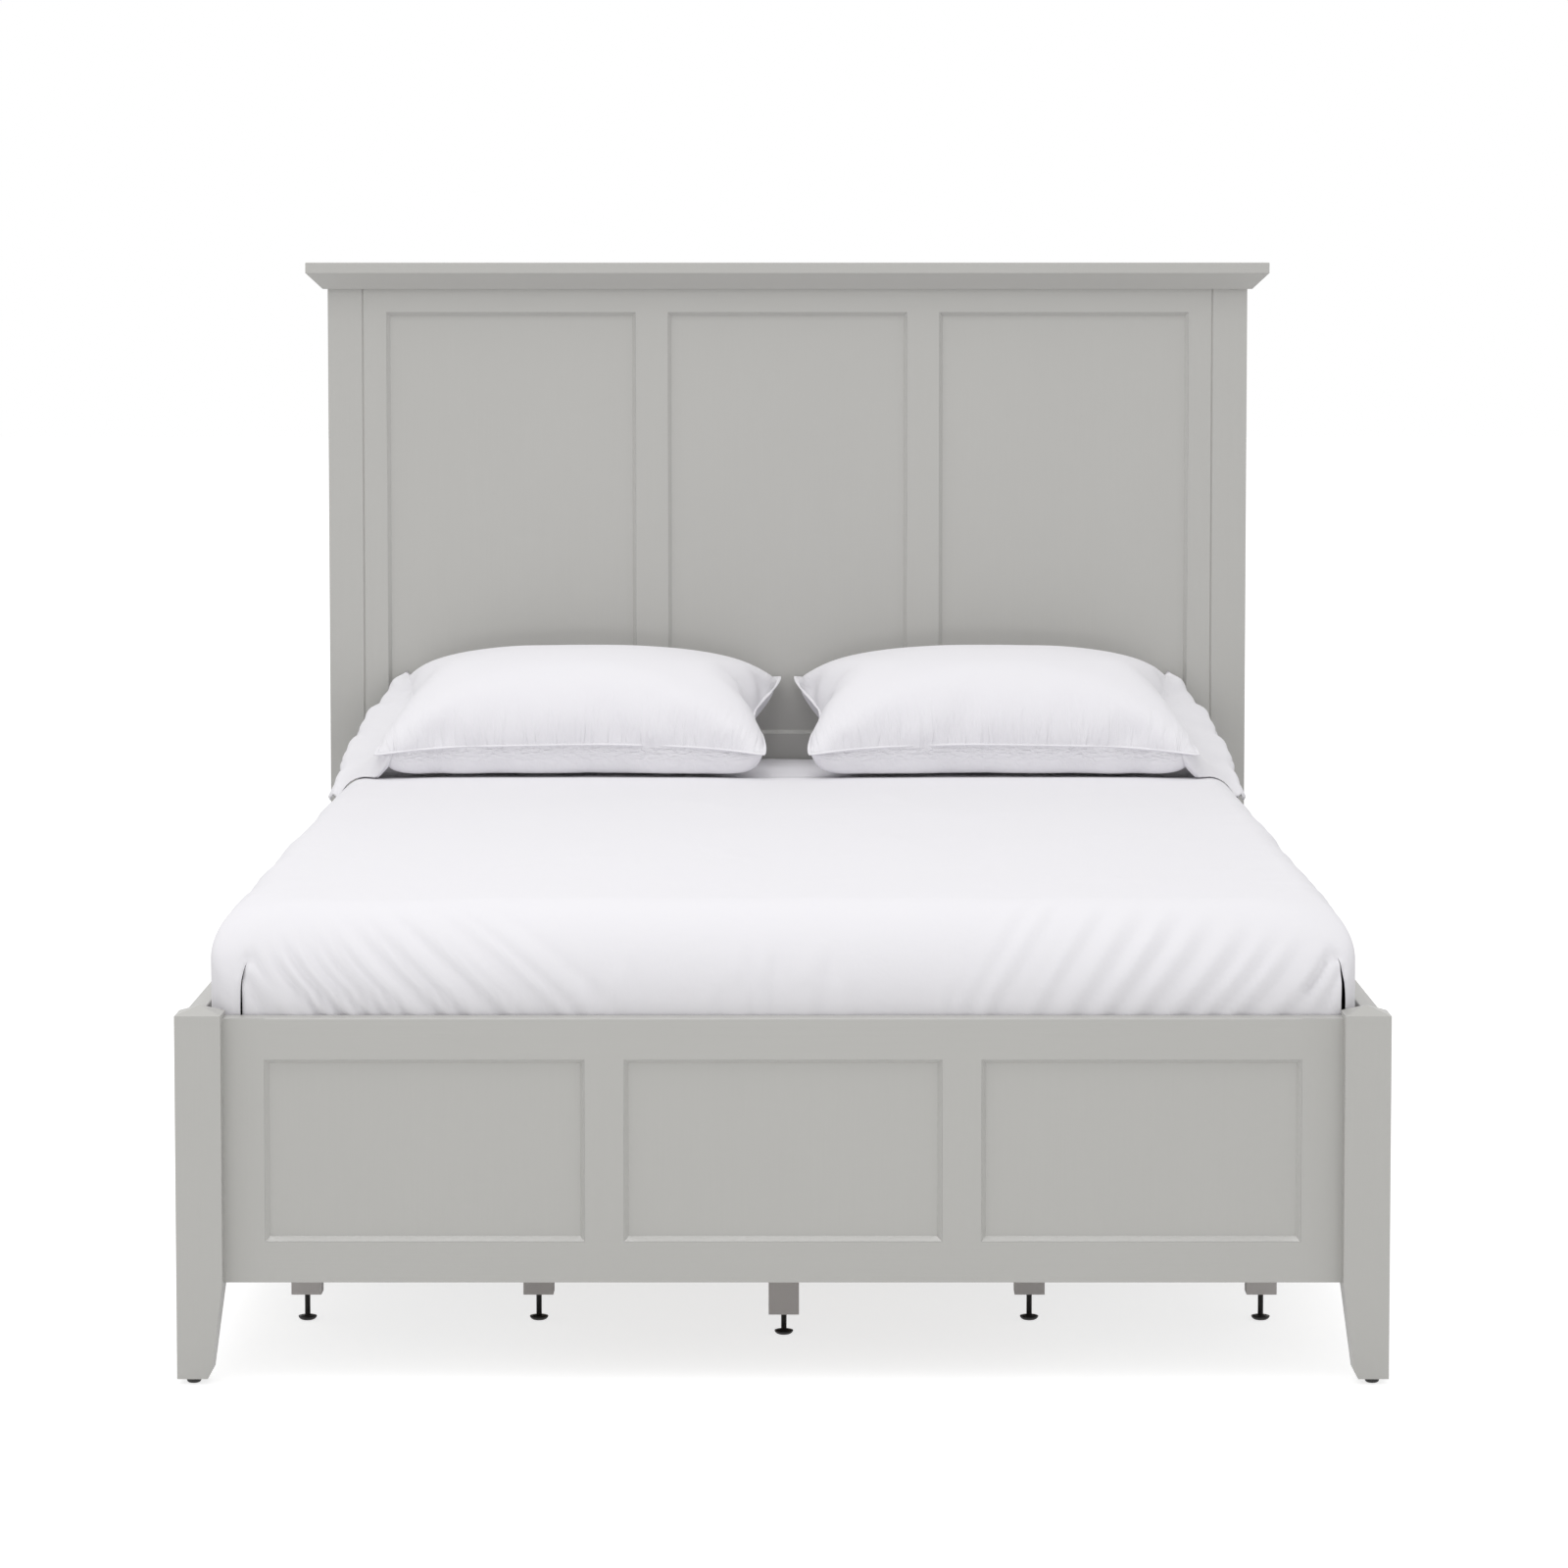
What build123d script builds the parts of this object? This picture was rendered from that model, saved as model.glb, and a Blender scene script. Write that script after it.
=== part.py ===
"""Platform storage bed with a panelled headboard and footboard, side drawers and bedding.

Millimetres. X runs across the bed, Y from the footboard to the headboard, Z up from the floor.
The origin is on the floor at the middle of the bed. Left is the side of negative X.
"""

from math import cos, radians, sin, sqrt
import os

from build123d import *

# Mattress, and the room round it inside the frame
mattress_width = 1524
mattress_length = 2032
mattress_height = 254
mattress_side_room = 49
mattress_end_room = 15.5

# Overall frame
post_width = 63.5
post_depth = 57
glide_height = 8
frame_bottom = 138
frame_top = 507

# Tapered feet of the posts
foot_taper = 15.5
foot_taper_top = 142
foot_relief_top = 18.5
foot_relief = 5.6

# Footboard
foot_post_shoulder = 514
foot_post_peak_rise = 11.5
post_peak_flat = 2
foot_frame_setback = 25
foot_rail_height = 57
foot_stile_width = 57
foot_mullion_width = 54

# Headboard
head_height = 1561.5
cap_thickness = 19
cap_overhang = 36.6
crown_height = 29
crown_foot_reach = 8.2
head_top_rail_height = 42
head_panel_bottom = 699.5
head_bottom_rail_bottom = 300
head_stile_width = 43
head_mullion_width = 58
head_frame_thickness = 32
post_joint_chamfer = 2

# Framed panels at both ends
mullion_centre = 247.5
panel_recess = 8
panel_thickness = 10
panel_groove_depth = 8
bead_gap = 0.2
bead_width = 6.5
bead_depth = 7.6
bead_lip = 0.4
edge_ease = 1.2

# Side rails with their drawer openings
rail_thickness = 24
rail_inset = 3
rail_foot_height = 22
rail_stile_width = 38
drawers_per_side = 3

# Drawer cabinets and the platform
cabinet_board = 16
slat_top = 395
slat_thickness = 18
slat_width = 89
slat_count = 14
slat_end_gap = 2.5
beam_width = 44
beam_height = 70
ledger_thickness = 22

# Drawers
drawer_front_thickness = 19
drawer_front_reveal = 3
drawer_front_border = 46
drawer_front_recess = 6
drawer_front_bevel = 5
drawer_travel = 350
drawer_held_length = 70
drawer_box_height = 180
drawer_box_lift = 6
drawer_board = 12
drawer_floor_thickness = 6
drawer_floor_lift = 6
drawer_side_gap = 13
drawer_back_gap = 42
knob_spacing = 320
knob_stem_radius = 7
knob_radius = 16
knob_stem_length = 14
knob_flare_length = 4
knob_rim_length = 4
knob_dome_height = 4
knob_foot_flare = 2

# Drawer runners
cleat_size = 12
cleat_setback = 10
runner_height = 36
runner_gap = 1
runner_groove_play = 0.3
runner_groove_extra = 1

# Support legs and levellers
leg_width = 44
leg_depth = 32
leg_bottom = 40
centre_leg_bottom = 31.5
outer_leg_inset = 110
inner_leg_inset = 22.5
leg_row_from_end = 407
centre_leg_from_end = 313
leveller_rod_radius = 4
leveller_bore_play = 0.05
leveller_held_length = 24
leveller_disc_radius = 13.5
leveller_foot_radius = 8
leveller_rim_low = 4.5
leveller_rim_high = 5.5
leveller_disc_height = 8
leveller_bowl_roundness = 1.4
leveller_up_travel = 20
leveller_down_travel = 12
leveller_bore_spare = 5

# Post glides
glide_radius = 10
glide_foot_radius = 6
glide_round_height = 4
glide_nail_radius = 2
glide_nail_length = 16

# Corner brackets and their bolts
bracket_thickness = 3
bracket_leg = 60
bracket_post_leg = 32
bracket_height = 90
bracket_above_slats = 5
bolt_radius = 3
bolt_head_radius = 6
bolt_head_height = 4
bolt_post_length = 30
bolt_rail_length = 18
bolt_spacing = 40
bolt_place_along_leg = 2 / 3

# Mattress and bedding
mattress_corner = 60
mattress_edge = 30
mattress_wall = 35
body_gap = 0.3
sheet_top_thickness = 6.5
sheet_side_thickness = 12
sheet_side_gap = 14
sheet_end_gap = 4
sheet_end_thickness = 8
sheet_hem_above_slats = 10
sheet_corner = 45
sheet_edge = 36

# Pillows
pillow_width = 708
pillow_half_depth = 203
pillow_half_loft = 98
pillow_tilt = 15
pillow_gap = 19
pillow_end_half_depth = 150
pillow_end_half_loft = 6
pillow_stations = 8
pillow_end_squareness = 4

# Places worked out from the sizes above
rail_length = mattress_length + 2 * mattress_end_room
foot_back_y = -rail_length / 2
head_y = rail_length / 2
front_y = foot_back_y - post_depth
back_y = head_y + post_depth
rail_inner_x = mattress_width / 2 + mattress_side_room
rail_outer_x = rail_inner_x + rail_thickness
half_width = rail_outer_x + rail_inset
bed_width = 2 * half_width
post_inner_x = half_width - post_width
cap_bottom = head_height - cap_thickness
crown_bottom = cap_bottom - crown_height
cabinet_top = slat_top - slat_thickness
opening_low = frame_bottom + rail_foot_height
opening_length = (rail_length - (drawers_per_side + 1) * rail_stile_width) / drawers_per_side
bay_pitch = opening_length + rail_stile_width
drawer_front_inner_x = rail_outer_x - drawer_front_thickness
drawer_box_inner_x = drawer_front_inner_x - drawer_travel - drawer_held_length
cabinet_inner_face = drawer_box_inner_x - drawer_back_gap - cabinet_board
outer_leg_x = rail_inner_x - outer_leg_inset
inner_leg_x = cabinet_inner_face + inner_leg_inset
drawer_box_half = opening_length / 2 - drawer_side_gap
drawer_box_low = opening_low + drawer_box_lift
drawer_box_high = drawer_box_low + drawer_box_height
drawer_mid_z = (drawer_box_low + drawer_box_high) / 2
drawer_front_low = opening_low + drawer_front_reveal
drawer_front_high = cabinet_top - drawer_front_reveal
drawer_front_half = opening_length / 2 - drawer_front_reveal
knob_z = (drawer_front_low + drawer_front_high) / 2
bracket_low = slat_top + bracket_above_slats
bolt_mid_z = bracket_low + bracket_height / 2
mattress_low = slat_top + body_gap
mattress_high = mattress_low + mattress_height
sheet_half_width = rail_inner_x - sheet_side_gap
pillow_centre_x = pillow_width / 2 + pillow_gap
sheet_top = mattress_high + body_gap + sheet_top_thickness
leveller_rod_engagement = leveller_held_length + leveller_down_travel
drawer_rows = ("foot", "middle", "head")
sides = {"left": -1, "right": 1}


def save(name, *pieces):
    """Write one named node, in which every piece stays a solid of its own."""
    node = pieces[0] if len(pieces) == 1 else Compound(children=list(pieces))
    node.label = name
    export_step(node, f"parts/{name}.step")


def ordered(a, b):
    """Two limits, the lower one first."""
    return (min(a, b), max(a, b))


def board(x_span, y_span, z_span):
    """A square-edged board between three pairs of faces."""
    with BuildPart() as piece:
        with BuildSketch(Plane.XY.offset(z_span[0])):
            with Locations((sum(x_span) / 2, sum(y_span) / 2)):
                Rectangle(x_span[1] - x_span[0], y_span[1] - y_span[0])
        extrude(amount=z_span[1] - z_span[0])
    return piece.part


def cylinder_along_z(x, y, z_span, radius):
    """A plain upright cylinder."""
    with BuildPart() as piece:
        with BuildSketch(Plane.XY.offset(z_span[0])):
            with Locations((x, y)):
                Circle(radius)
        extrude(amount=z_span[1] - z_span[0])
    return piece.part


def less(blank, *cutters):
    """A piece with the space of other pieces cut out of it."""
    with BuildPart() as piece:
        add(blank)
        for cutter in cutters:
            add(cutter, mode=Mode.SUBTRACT)
    return piece.part


def eased(blank, choose):
    """A piece with the edges that choose picks softened by a small chamfer."""
    with BuildPart() as piece:
        add(blank)
        chamfer(choose(piece.edges()), edge_ease)
    return piece.part


# Framed panels
def frame_openings(half_span, stile_width, mullion_width):
    """The X limits of the three panel openings of one bed end."""
    stile_edge = half_span - stile_width
    mullion_outer = mullion_centre + mullion_width / 2
    mullion_inner = mullion_centre - mullion_width / 2
    return (
        (-stile_edge, -mullion_outer),
        (-mullion_inner, mullion_inner),
        (mullion_outer, stile_edge),
    )


def bead_strip(corners, start, panel_y):
    """One mitred strip of the bevelled bead that lies round a panel, on the panel's face."""
    middle = (
        (corners[0][0] + corners[2][0]) / 2,
        (corners[0][1] + corners[2][1]) / 2,
    )

    def inward(point, distance):
        """A corner moved towards the opening's middle along its mitre."""
        return tuple(p + (distance if m > p else -distance) for p, m in zip(point, middle))

    first, second = corners[start], corners[(start + 1) % len(corners)]
    with BuildPart() as strip:
        for depth, reach in ((0, bead_width), (bead_depth, bead_lip)):
            with BuildSketch(Plane.XZ.offset(depth - panel_y)):
                Polygon(first, second, inward(second, reach), inward(first, reach), align=None)
        loft(ruled=True)
    return strip.part


def panel_beads(opening_x, opening_z, panel_y):
    """The four bead strips of one opening, a small gap inside its edge."""
    left, right = opening_x[0] + bead_gap, opening_x[1] - bead_gap
    low, high = opening_z[0] + bead_gap, opening_z[1] - bead_gap
    corners = ((left, low), (right, low), (right, high), (left, high))
    return [bead_strip(corners, start, panel_y) for start in range(len(corners))]


def framed_end(face_y, thickness, z_span, opening_z, stile_width, mullion_width):
    """Stiles, mullions, rails, panels and beads of one bed end, the panels held in grooves."""
    openings = frame_openings(post_inner_x, stile_width, mullion_width)
    y_span = (face_y, face_y + thickness)
    panel_y = face_y + panel_recess
    panels = [
        board(
            (x_span[0] - panel_groove_depth, x_span[1] + panel_groove_depth),
            (panel_y, panel_y + panel_thickness),
            (opening_z[0] - panel_groove_depth, opening_z[1] + panel_groove_depth),
        )
        for x_span in openings
    ]
    stiles = [
        less(board(ordered(side * post_inner_x, openings[end][end]), y_span, z_span), panels[end])
        for side, end in ((-1, 0), (1, -1))
    ]
    mullions = [
        less(board((a[1], b[0]), y_span, opening_z), *panels)
        for a, b in zip(openings, openings[1:])
    ]
    rail_x = (openings[0][0], openings[-1][-1])
    bottom_rail = less(board(rail_x, y_span, (z_span[0], opening_z[0])), *panels)
    top_rail = less(board(rail_x, y_span, (opening_z[1], z_span[1])), *panels)
    beads = [bead for x_span in openings for bead in panel_beads(x_span, opening_z, panel_y)]
    return stiles, mullions, bottom_rail, top_rail, panels, beads


# Posts
def post_blank(side, y_span, top, bed_face_y):
    """A square post whose foot tapers on its two inner faces, with a relief at the very bottom."""
    steps = (
        (0, top),
        (0, foot_taper_top),
        (foot_taper, foot_relief_top),
        (foot_taper + foot_relief, glide_height),
    )
    inner = [(side * (post_inner_x + inset), z) for inset, z in steps]
    outline = [(side * half_width, glide_height), (side * half_width, top), *inner]
    away = -1 if bed_face_y > sum(y_span) / 2 else 1
    face = [(bed_face_y + away * inset, z) for inset, z in steps[1:]]
    wedge = [*face, (bed_face_y, glide_height)]
    with BuildPart() as post:
        with BuildSketch(Plane.XZ.offset(-y_span[1])):
            Polygon(*outline, align=None)
        extrude(amount=y_span[1] - y_span[0])
        with BuildSketch(Plane.YZ):
            Polygon(*wedge, align=None)
        extrude(amount=bed_width, both=True, mode=Mode.SUBTRACT)
    return post.part


def post_foot_centre(side, y_span, bed_face_y):
    """The middle of a post's foot, where its glide is."""
    inset = foot_taper + foot_relief
    outer_y = sum(y_span) - bed_face_y
    away = -1 if bed_face_y > outer_y else 1
    return (
        side * (half_width + post_inner_x + inset) / 2,
        (outer_y + bed_face_y + away * inset) / 2,
    )


def glide(x, y):
    """A round glide with a soft lower edge, and the nail that holds it in the foot."""
    with BuildPart() as piece:
        with BuildSketch(Plane(origin=(x, y, 0), x_dir=(1, 0, 0), z_dir=(0, -1, 0))):
            with BuildLine():
                Line((0, 0), (glide_foot_radius, 0))
                RadiusArc(
                    (glide_foot_radius, 0), (glide_radius, glide_round_height), -glide_round_height
                )
                Polyline(
                    (glide_radius, glide_round_height),
                    (glide_radius, glide_height),
                    (glide_nail_radius, glide_height),
                    (glide_nail_radius, glide_height + glide_nail_length),
                    (0, glide_height + glide_nail_length),
                    (0, 0),
                )
            make_face()
        revolve(axis=Axis((x, y, 0), (0, 0, 1)))
    return piece.part


def glide_nail_hole(x, y):
    """The hole of a glide's nail in the foot."""
    return cylinder_along_z(
        x, y, (glide_height, glide_height + glide_nail_length), glide_nail_radius
    )


def peaked_top(side, y_span):
    """The low four-sided peak on a footboard post."""
    middle = (side * (half_width + post_inner_x) / 2, sum(y_span) / 2)
    with BuildPart() as peak:
        for rise, size in (
            (0, (post_width, y_span[1] - y_span[0])),
            (foot_post_peak_rise, (post_peak_flat, post_peak_flat)),
        ):
            with BuildSketch(Plane.XY.offset(foot_post_shoulder + rise)):
                with Locations(middle):
                    Rectangle(*size)
        loft(ruled=True)
    return peak.part


# Corner brackets
def bolt(head_centre, along, length):
    """A bolt with a plain round head, its shank pointing along a direction."""
    seat = Plane(origin=head_centre, z_dir=along)
    with BuildPart() as piece:
        with BuildSketch(seat):
            Circle(bolt_head_radius)
        extrude(amount=-bolt_head_height)
        with BuildSketch(seat):
            Circle(bolt_radius)
        extrude(amount=length + bracket_thickness)
    return piece.part


def corner_hardware(side, face_y, into_bed):
    """One angle bracket in a corner of the frame, and its four bolts."""
    post_plate = board(
        ordered(side * rail_inner_x, side * (rail_inner_x - bracket_post_leg)),
        ordered(face_y, face_y + into_bed * bracket_thickness),
        (bracket_low, bracket_low + bracket_height),
    )
    rail_plate = board(
        ordered(side * rail_inner_x, side * (rail_inner_x - bracket_thickness)),
        ordered(face_y, face_y + into_bed * bracket_leg),
        (bracket_low, bracket_low + bracket_height),
    )
    bolts = []
    for offset in (-bolt_spacing / 2, bolt_spacing / 2):
        z = bolt_mid_z + offset
        post_bolt_x = side * (rail_inner_x - bracket_post_leg / 2 - bracket_thickness)
        rail_bolt_y = face_y + into_bed * bracket_leg * bolt_place_along_leg
        bolts.append(
            bolt(
                (post_bolt_x, face_y + into_bed * bracket_thickness, z),
                (0, -into_bed, 0),
                bolt_post_length,
            )
        )
        bolts.append(
            bolt(
                (side * (rail_inner_x - bracket_thickness), rail_bolt_y, z),
                (side, 0, 0),
                bolt_rail_length,
            )
        )
    with BuildPart() as bracket:
        add(post_plate)
        add(rail_plate)
        for each in bolts:
            add(each, mode=Mode.SUBTRACT)
    return bracket.part, bolts


# Crown of the headboard
def crown_strip(back_corners, reaches):
    """One mitred length of the crown, from its narrow foot to its wide top."""
    with BuildPart() as strip:
        for z, reach in reaches:
            with BuildSketch(Plane.XY.offset(z)):
                Polygon(*back_corners(reach), align=None)
        loft(ruled=True)
    return strip.part


def crown_front(reach):
    """Outline of the front crown length at one height."""
    return (
        (-half_width, head_y),
        (half_width, head_y),
        (half_width + reach, head_y - reach),
        (-half_width - reach, head_y - reach),
    )


def crown_return(side):
    """Outline of a side return of the crown at one height."""

    def outline(reach):
        corners = (
            (side * half_width, head_y),
            (side * half_width, back_y),
            (side * (half_width + reach), back_y),
            (side * (half_width + reach), head_y - reach),
        )
        return corners if side < 0 else tuple(reversed(corners))

    return outline


# Drawers
def bay_middle(row):
    """The Y place of the middle of one drawer opening."""
    return foot_back_y + rail_stile_width + opening_length / 2 + row * bay_pitch


def drawer_front(side, middle_y):
    """An inset drawer front with a sunk field."""
    face_x = side * rail_outer_x
    field_y = 2 * (drawer_front_half - drawer_front_border)
    field_z = drawer_front_high - drawer_front_low - 2 * drawer_front_border
    blank = board(
        ordered(side * drawer_front_inner_x, face_x),
        (middle_y - drawer_front_half, middle_y + drawer_front_half),
        (drawer_front_low, drawer_front_high),
    )
    with BuildPart() as front:
        add(blank)
        face_edges = front.faces().sort_by(Axis.X)[-1 if side > 0 else 0].edges()
        chamfer(face_edges, edge_ease)
        for depth, margin in ((0, drawer_front_bevel), (drawer_front_recess, 0)):
            with BuildSketch(
                Plane(origin=(face_x - side * depth, middle_y, knob_z), x_dir=(0, 1, 0), z_dir=(1, 0, 0))
            ):
                Rectangle(field_y + 2 * margin, field_z + 2 * margin)
        loft(ruled=True, mode=Mode.SUBTRACT)
    return front.part


def knob(side, y):
    """A turned knob with a stem, a soft rim and a slightly domed face."""
    base_x = side * (rail_outer_x - drawer_front_recess)
    rim_start = knob_stem_length + knob_flare_length
    rim_end = rim_start + knob_rim_length
    face_x = rim_end + knob_dome_height
    dome_radius = (knob_radius**2 + knob_dome_height**2) / (2 * knob_dome_height)
    foot_radius = knob_stem_radius + knob_foot_flare
    with BuildPart() as piece:
        with BuildSketch(Plane(origin=(base_x, y, knob_z), x_dir=(side, 0, 0), z_dir=(0, 0, 1))):
            with BuildLine():
                Polyline(
                    (0, 0),
                    (0, foot_radius),
                    (knob_foot_flare, foot_radius),
                    (2 * knob_foot_flare, knob_stem_radius),
                    (knob_stem_length, knob_stem_radius),
                    (rim_start, knob_radius),
                    (rim_end, knob_radius),
                )
                RadiusArc((rim_end, knob_radius), (face_x, 0), dome_radius)
                Line((face_x, 0), (0, 0))
            make_face()
        revolve(axis=Axis((base_x, y, knob_z), (side, 0, 0)))
    return piece.part


def drawer_box(side, middle_y):
    """The four walls, the floor and the two side cleats of a drawer."""
    low_y, high_y = middle_y - drawer_box_half, middle_y + drawer_box_half
    inner_x, outer_x = side * drawer_box_inner_x, side * drawer_front_inner_x
    z_span = (drawer_box_low, drawer_box_high)
    floor_low = drawer_box_low + drawer_floor_lift
    walls_y = (low_y + drawer_board, high_y - drawer_board)
    cleat_z = (drawer_mid_z - cleat_size / 2, drawer_mid_z + cleat_size / 2)
    cleat_x = ordered(inner_x, outer_x - side * cleat_setback)
    return [
        board(ordered(inner_x, outer_x), (low_y, walls_y[0]), z_span),
        board(ordered(inner_x, outer_x), (walls_y[1], high_y), z_span),
        board(ordered(inner_x, inner_x + side * drawer_board), walls_y, z_span),
        board(ordered(outer_x - side * drawer_board, outer_x), walls_y, z_span),
        board(
            ordered(inner_x + side * drawer_board, outer_x - side * drawer_board),
            walls_y,
            (floor_low, floor_low + drawer_floor_thickness),
        ),
        board(cleat_x, (low_y - cleat_size, low_y), cleat_z),
        board(cleat_x, (high_y, high_y + cleat_size), cleat_z),
    ]


def drawer_runner(side, box_side_y, outward):
    """A grooved runner beside a drawer, screwed to the cabinet's divider."""
    x_span = ordered(side * (cabinet_inner_face + cabinet_board), side * rail_inner_x)
    divider_y = box_side_y + outward * (drawer_side_gap + (rail_stile_width - cabinet_board) / 2)
    groove_reach = cleat_size + runner_groove_extra
    groove_half = cleat_size / 2 + runner_groove_play
    face_y = box_side_y + outward * runner_gap
    return less(
        board(
            x_span,
            ordered(face_y, divider_y),
            (drawer_mid_z - runner_height / 2, drawer_mid_z + runner_height / 2),
        ),
        board(
            x_span,
            ordered(face_y, box_side_y + outward * groove_reach),
            (drawer_mid_z - groove_half, drawer_mid_z + groove_half),
        ),
    )


# Side rails and cabinets
def rail_stile_places():
    """The Y limits of the upright members of a side rail."""
    starts = [foot_back_y + row * bay_pitch for row in range(drawers_per_side + 1)]
    return [(start, start + rail_stile_width) for start in starts]


def side_rail(side, bolts):
    """A side rail: a deep upper board, a low foot board and the stiles between the drawers."""
    x_span = ordered(side * rail_inner_x, side * rail_outer_x)
    y_span = (foot_back_y, head_y)
    upper = eased(
        board(x_span, y_span, (cabinet_top, frame_top)),
        lambda edges: edges.filter_by(Axis.Y).group_by(Axis.Z)[-1],
    )
    foot = board(x_span, y_span, (frame_bottom, opening_low))
    stiles = [board(x_span, place, (opening_low, cabinet_top)) for place in rail_stile_places()]
    return [less(upper, *bolts), foot, *stiles]


def drawer_cabinet(side):
    """The carcase behind a side rail: floor, top, back, two ends and the dividers."""
    inner_x = side * cabinet_inner_face
    lining_x = inner_x + side * cabinet_board
    outer_x = side * rail_inner_x
    y_span = (foot_back_y, head_y)
    wall_z = (frame_bottom + cabinet_board, cabinet_top - cabinet_board)
    stile_middles = [sum(place) / 2 for place in rail_stile_places()]
    ends = [
        (foot_back_y, stile_middles[0] + cabinet_board / 2),
        (stile_middles[-1] - cabinet_board / 2, head_y),
    ]
    dividers = [(y - cabinet_board / 2, y + cabinet_board / 2) for y in stile_middles[1:-1]]
    return [
        board(ordered(inner_x, outer_x), y_span, (frame_bottom, frame_bottom + cabinet_board)),
        board(ordered(inner_x, outer_x), y_span, (cabinet_top - cabinet_board, cabinet_top)),
        board(ordered(inner_x, lining_x), y_span, wall_z),
        *[board(ordered(lining_x, outer_x), place, wall_z) for place in ends + dividers],
    ]


# Support legs and levellers
def leg_places():
    """Name, X, Y, bottom and top of each support leg."""
    places = []
    for row, row_side in (("foot", -1), ("head", 1)):
        row_y = row_side * (back_y - leg_row_from_end)
        centre_y = row_side * (back_y - centre_leg_from_end)
        for name, side in sides.items():
            for reach, x in (("outer", outer_leg_x), ("inner", inner_leg_x)):
                places.append((f"{row}_{name}_{reach}", side * x, row_y, leg_bottom, frame_bottom))
        places.append((f"{row}_centre", 0, centre_y, centre_leg_bottom, cabinet_top - beam_height))
    return places


def support_leg(x, y, low, high):
    """A square wooden leg with the tapped hole of its leveller."""
    hole_depth = leveller_rod_engagement + leveller_up_travel + leveller_bore_spare
    return less(
        board((x - leg_width / 2, x + leg_width / 2), (y - leg_depth / 2, y + leg_depth / 2), (low, high)),
        cylinder_along_z(x, y, (low, low + hole_depth), leveller_rod_radius + leveller_bore_play),
    )


def leveller(x, y, leg_low):
    """A levelling foot: a dished disc on the floor and its upright rod."""
    rod_top = leg_low + leveller_rod_engagement
    with BuildPart() as piece:
        with BuildSketch(Plane(origin=(x, y, 0), x_dir=(1, 0, 0), z_dir=(0, -1, 0))):
            with BuildLine():
                Line((0, 0), (leveller_foot_radius, 0))
                RadiusArc(
                    (leveller_foot_radius, 0),
                    (leveller_disc_radius, leveller_rim_low),
                    -(leveller_disc_radius - leveller_foot_radius) * leveller_bowl_roundness,
                )
                Polyline(
                    (leveller_disc_radius, leveller_rim_low),
                    (leveller_disc_radius, leveller_rim_high),
                    (leveller_rod_radius, leveller_disc_height),
                    (leveller_rod_radius, rod_top),
                    (0, rod_top),
                    (0, 0),
                )
            make_face()
        revolve(axis=Axis((x, y, 0), (0, 0, 1)))
    return piece.part


# Bedding
def soft_block(half_x, y_span, z_span, corner, edge, bottom_edge):
    """A block with round upright corners and a soft top, and a soft bottom where asked."""
    with BuildPart() as block:
        with BuildSketch(Plane.XY.offset(z_span[0])):
            with Locations((0, sum(y_span) / 2)):
                RectangleRounded(2 * half_x, y_span[1] - y_span[0], corner)
        extrude(amount=z_span[1] - z_span[0])
        fillet(block.faces().sort_by(Axis.Z)[-1].edges(), edge)
        if bottom_edge:
            fillet(block.faces().sort_by(Axis.Z)[0].edges(), bottom_edge)
    return block.part


def mattress_body():
    """The mattress, hollow where its springs are."""
    y_span = (-mattress_length / 2, mattress_length / 2)
    outer = soft_block(
        mattress_width / 2,
        y_span,
        (mattress_low, mattress_high),
        mattress_corner,
        mattress_edge,
        mattress_edge,
    )
    hollow = board(
        (-mattress_width / 2 + mattress_wall, mattress_width / 2 - mattress_wall),
        (y_span[0] + mattress_wall, y_span[1] - mattress_wall),
        (mattress_low + mattress_wall, mattress_high - mattress_wall),
    )
    return less(outer, hollow)


def sheet_body():
    """The bed sheet over the mattress: a thin top and walls that hang inside the frame."""
    low = slat_top + sheet_hem_above_slats
    outer_y = (foot_back_y + sheet_end_gap, head_y - sheet_end_gap)
    inner_y = (outer_y[0] + sheet_end_thickness, outer_y[1] - sheet_end_thickness)
    outer = soft_block(sheet_half_width, outer_y, (low, sheet_top), sheet_corner, sheet_edge, 0)
    inner = soft_block(
        sheet_half_width - sheet_side_thickness,
        inner_y,
        (low, sheet_top - sheet_top_thickness),
        sheet_corner,
        mattress_edge,
        0,
    )
    return less(outer, inner)


def pillow_body(side):
    """A plump pillow that leans a little on the headboard."""
    tilt = radians(pillow_tilt)
    reach_y = sqrt((pillow_half_depth * cos(tilt)) ** 2 + (pillow_half_loft * sin(tilt)) ** 2)
    reach_z = sqrt((pillow_half_depth * sin(tilt)) ** 2 + (pillow_half_loft * cos(tilt)) ** 2)
    middle = (
        side * pillow_centre_x,
        head_y - body_gap - reach_y,
        sheet_top + body_gap + reach_z,
    )
    with BuildPart() as pillow:
        for station in range(pillow_stations + 1):
            share = 2 * station / pillow_stations - 1
            fullness = sqrt(1 - share**pillow_end_squareness)
            origin = (middle[0] + share * pillow_width / 2, middle[1], middle[2])
            section = Plane(origin=origin, x_dir=(0, cos(tilt), sin(tilt)), z_dir=(1, 0, 0))
            with BuildSketch(section):
                Ellipse(
                    pillow_end_half_depth + (pillow_half_depth - pillow_end_half_depth) * fullness,
                    pillow_end_half_loft + (pillow_half_loft - pillow_end_half_loft) * fullness,
                )
        loft(ruled=True)
    return pillow.part


os.makedirs("parts", exist_ok=True)

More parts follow.
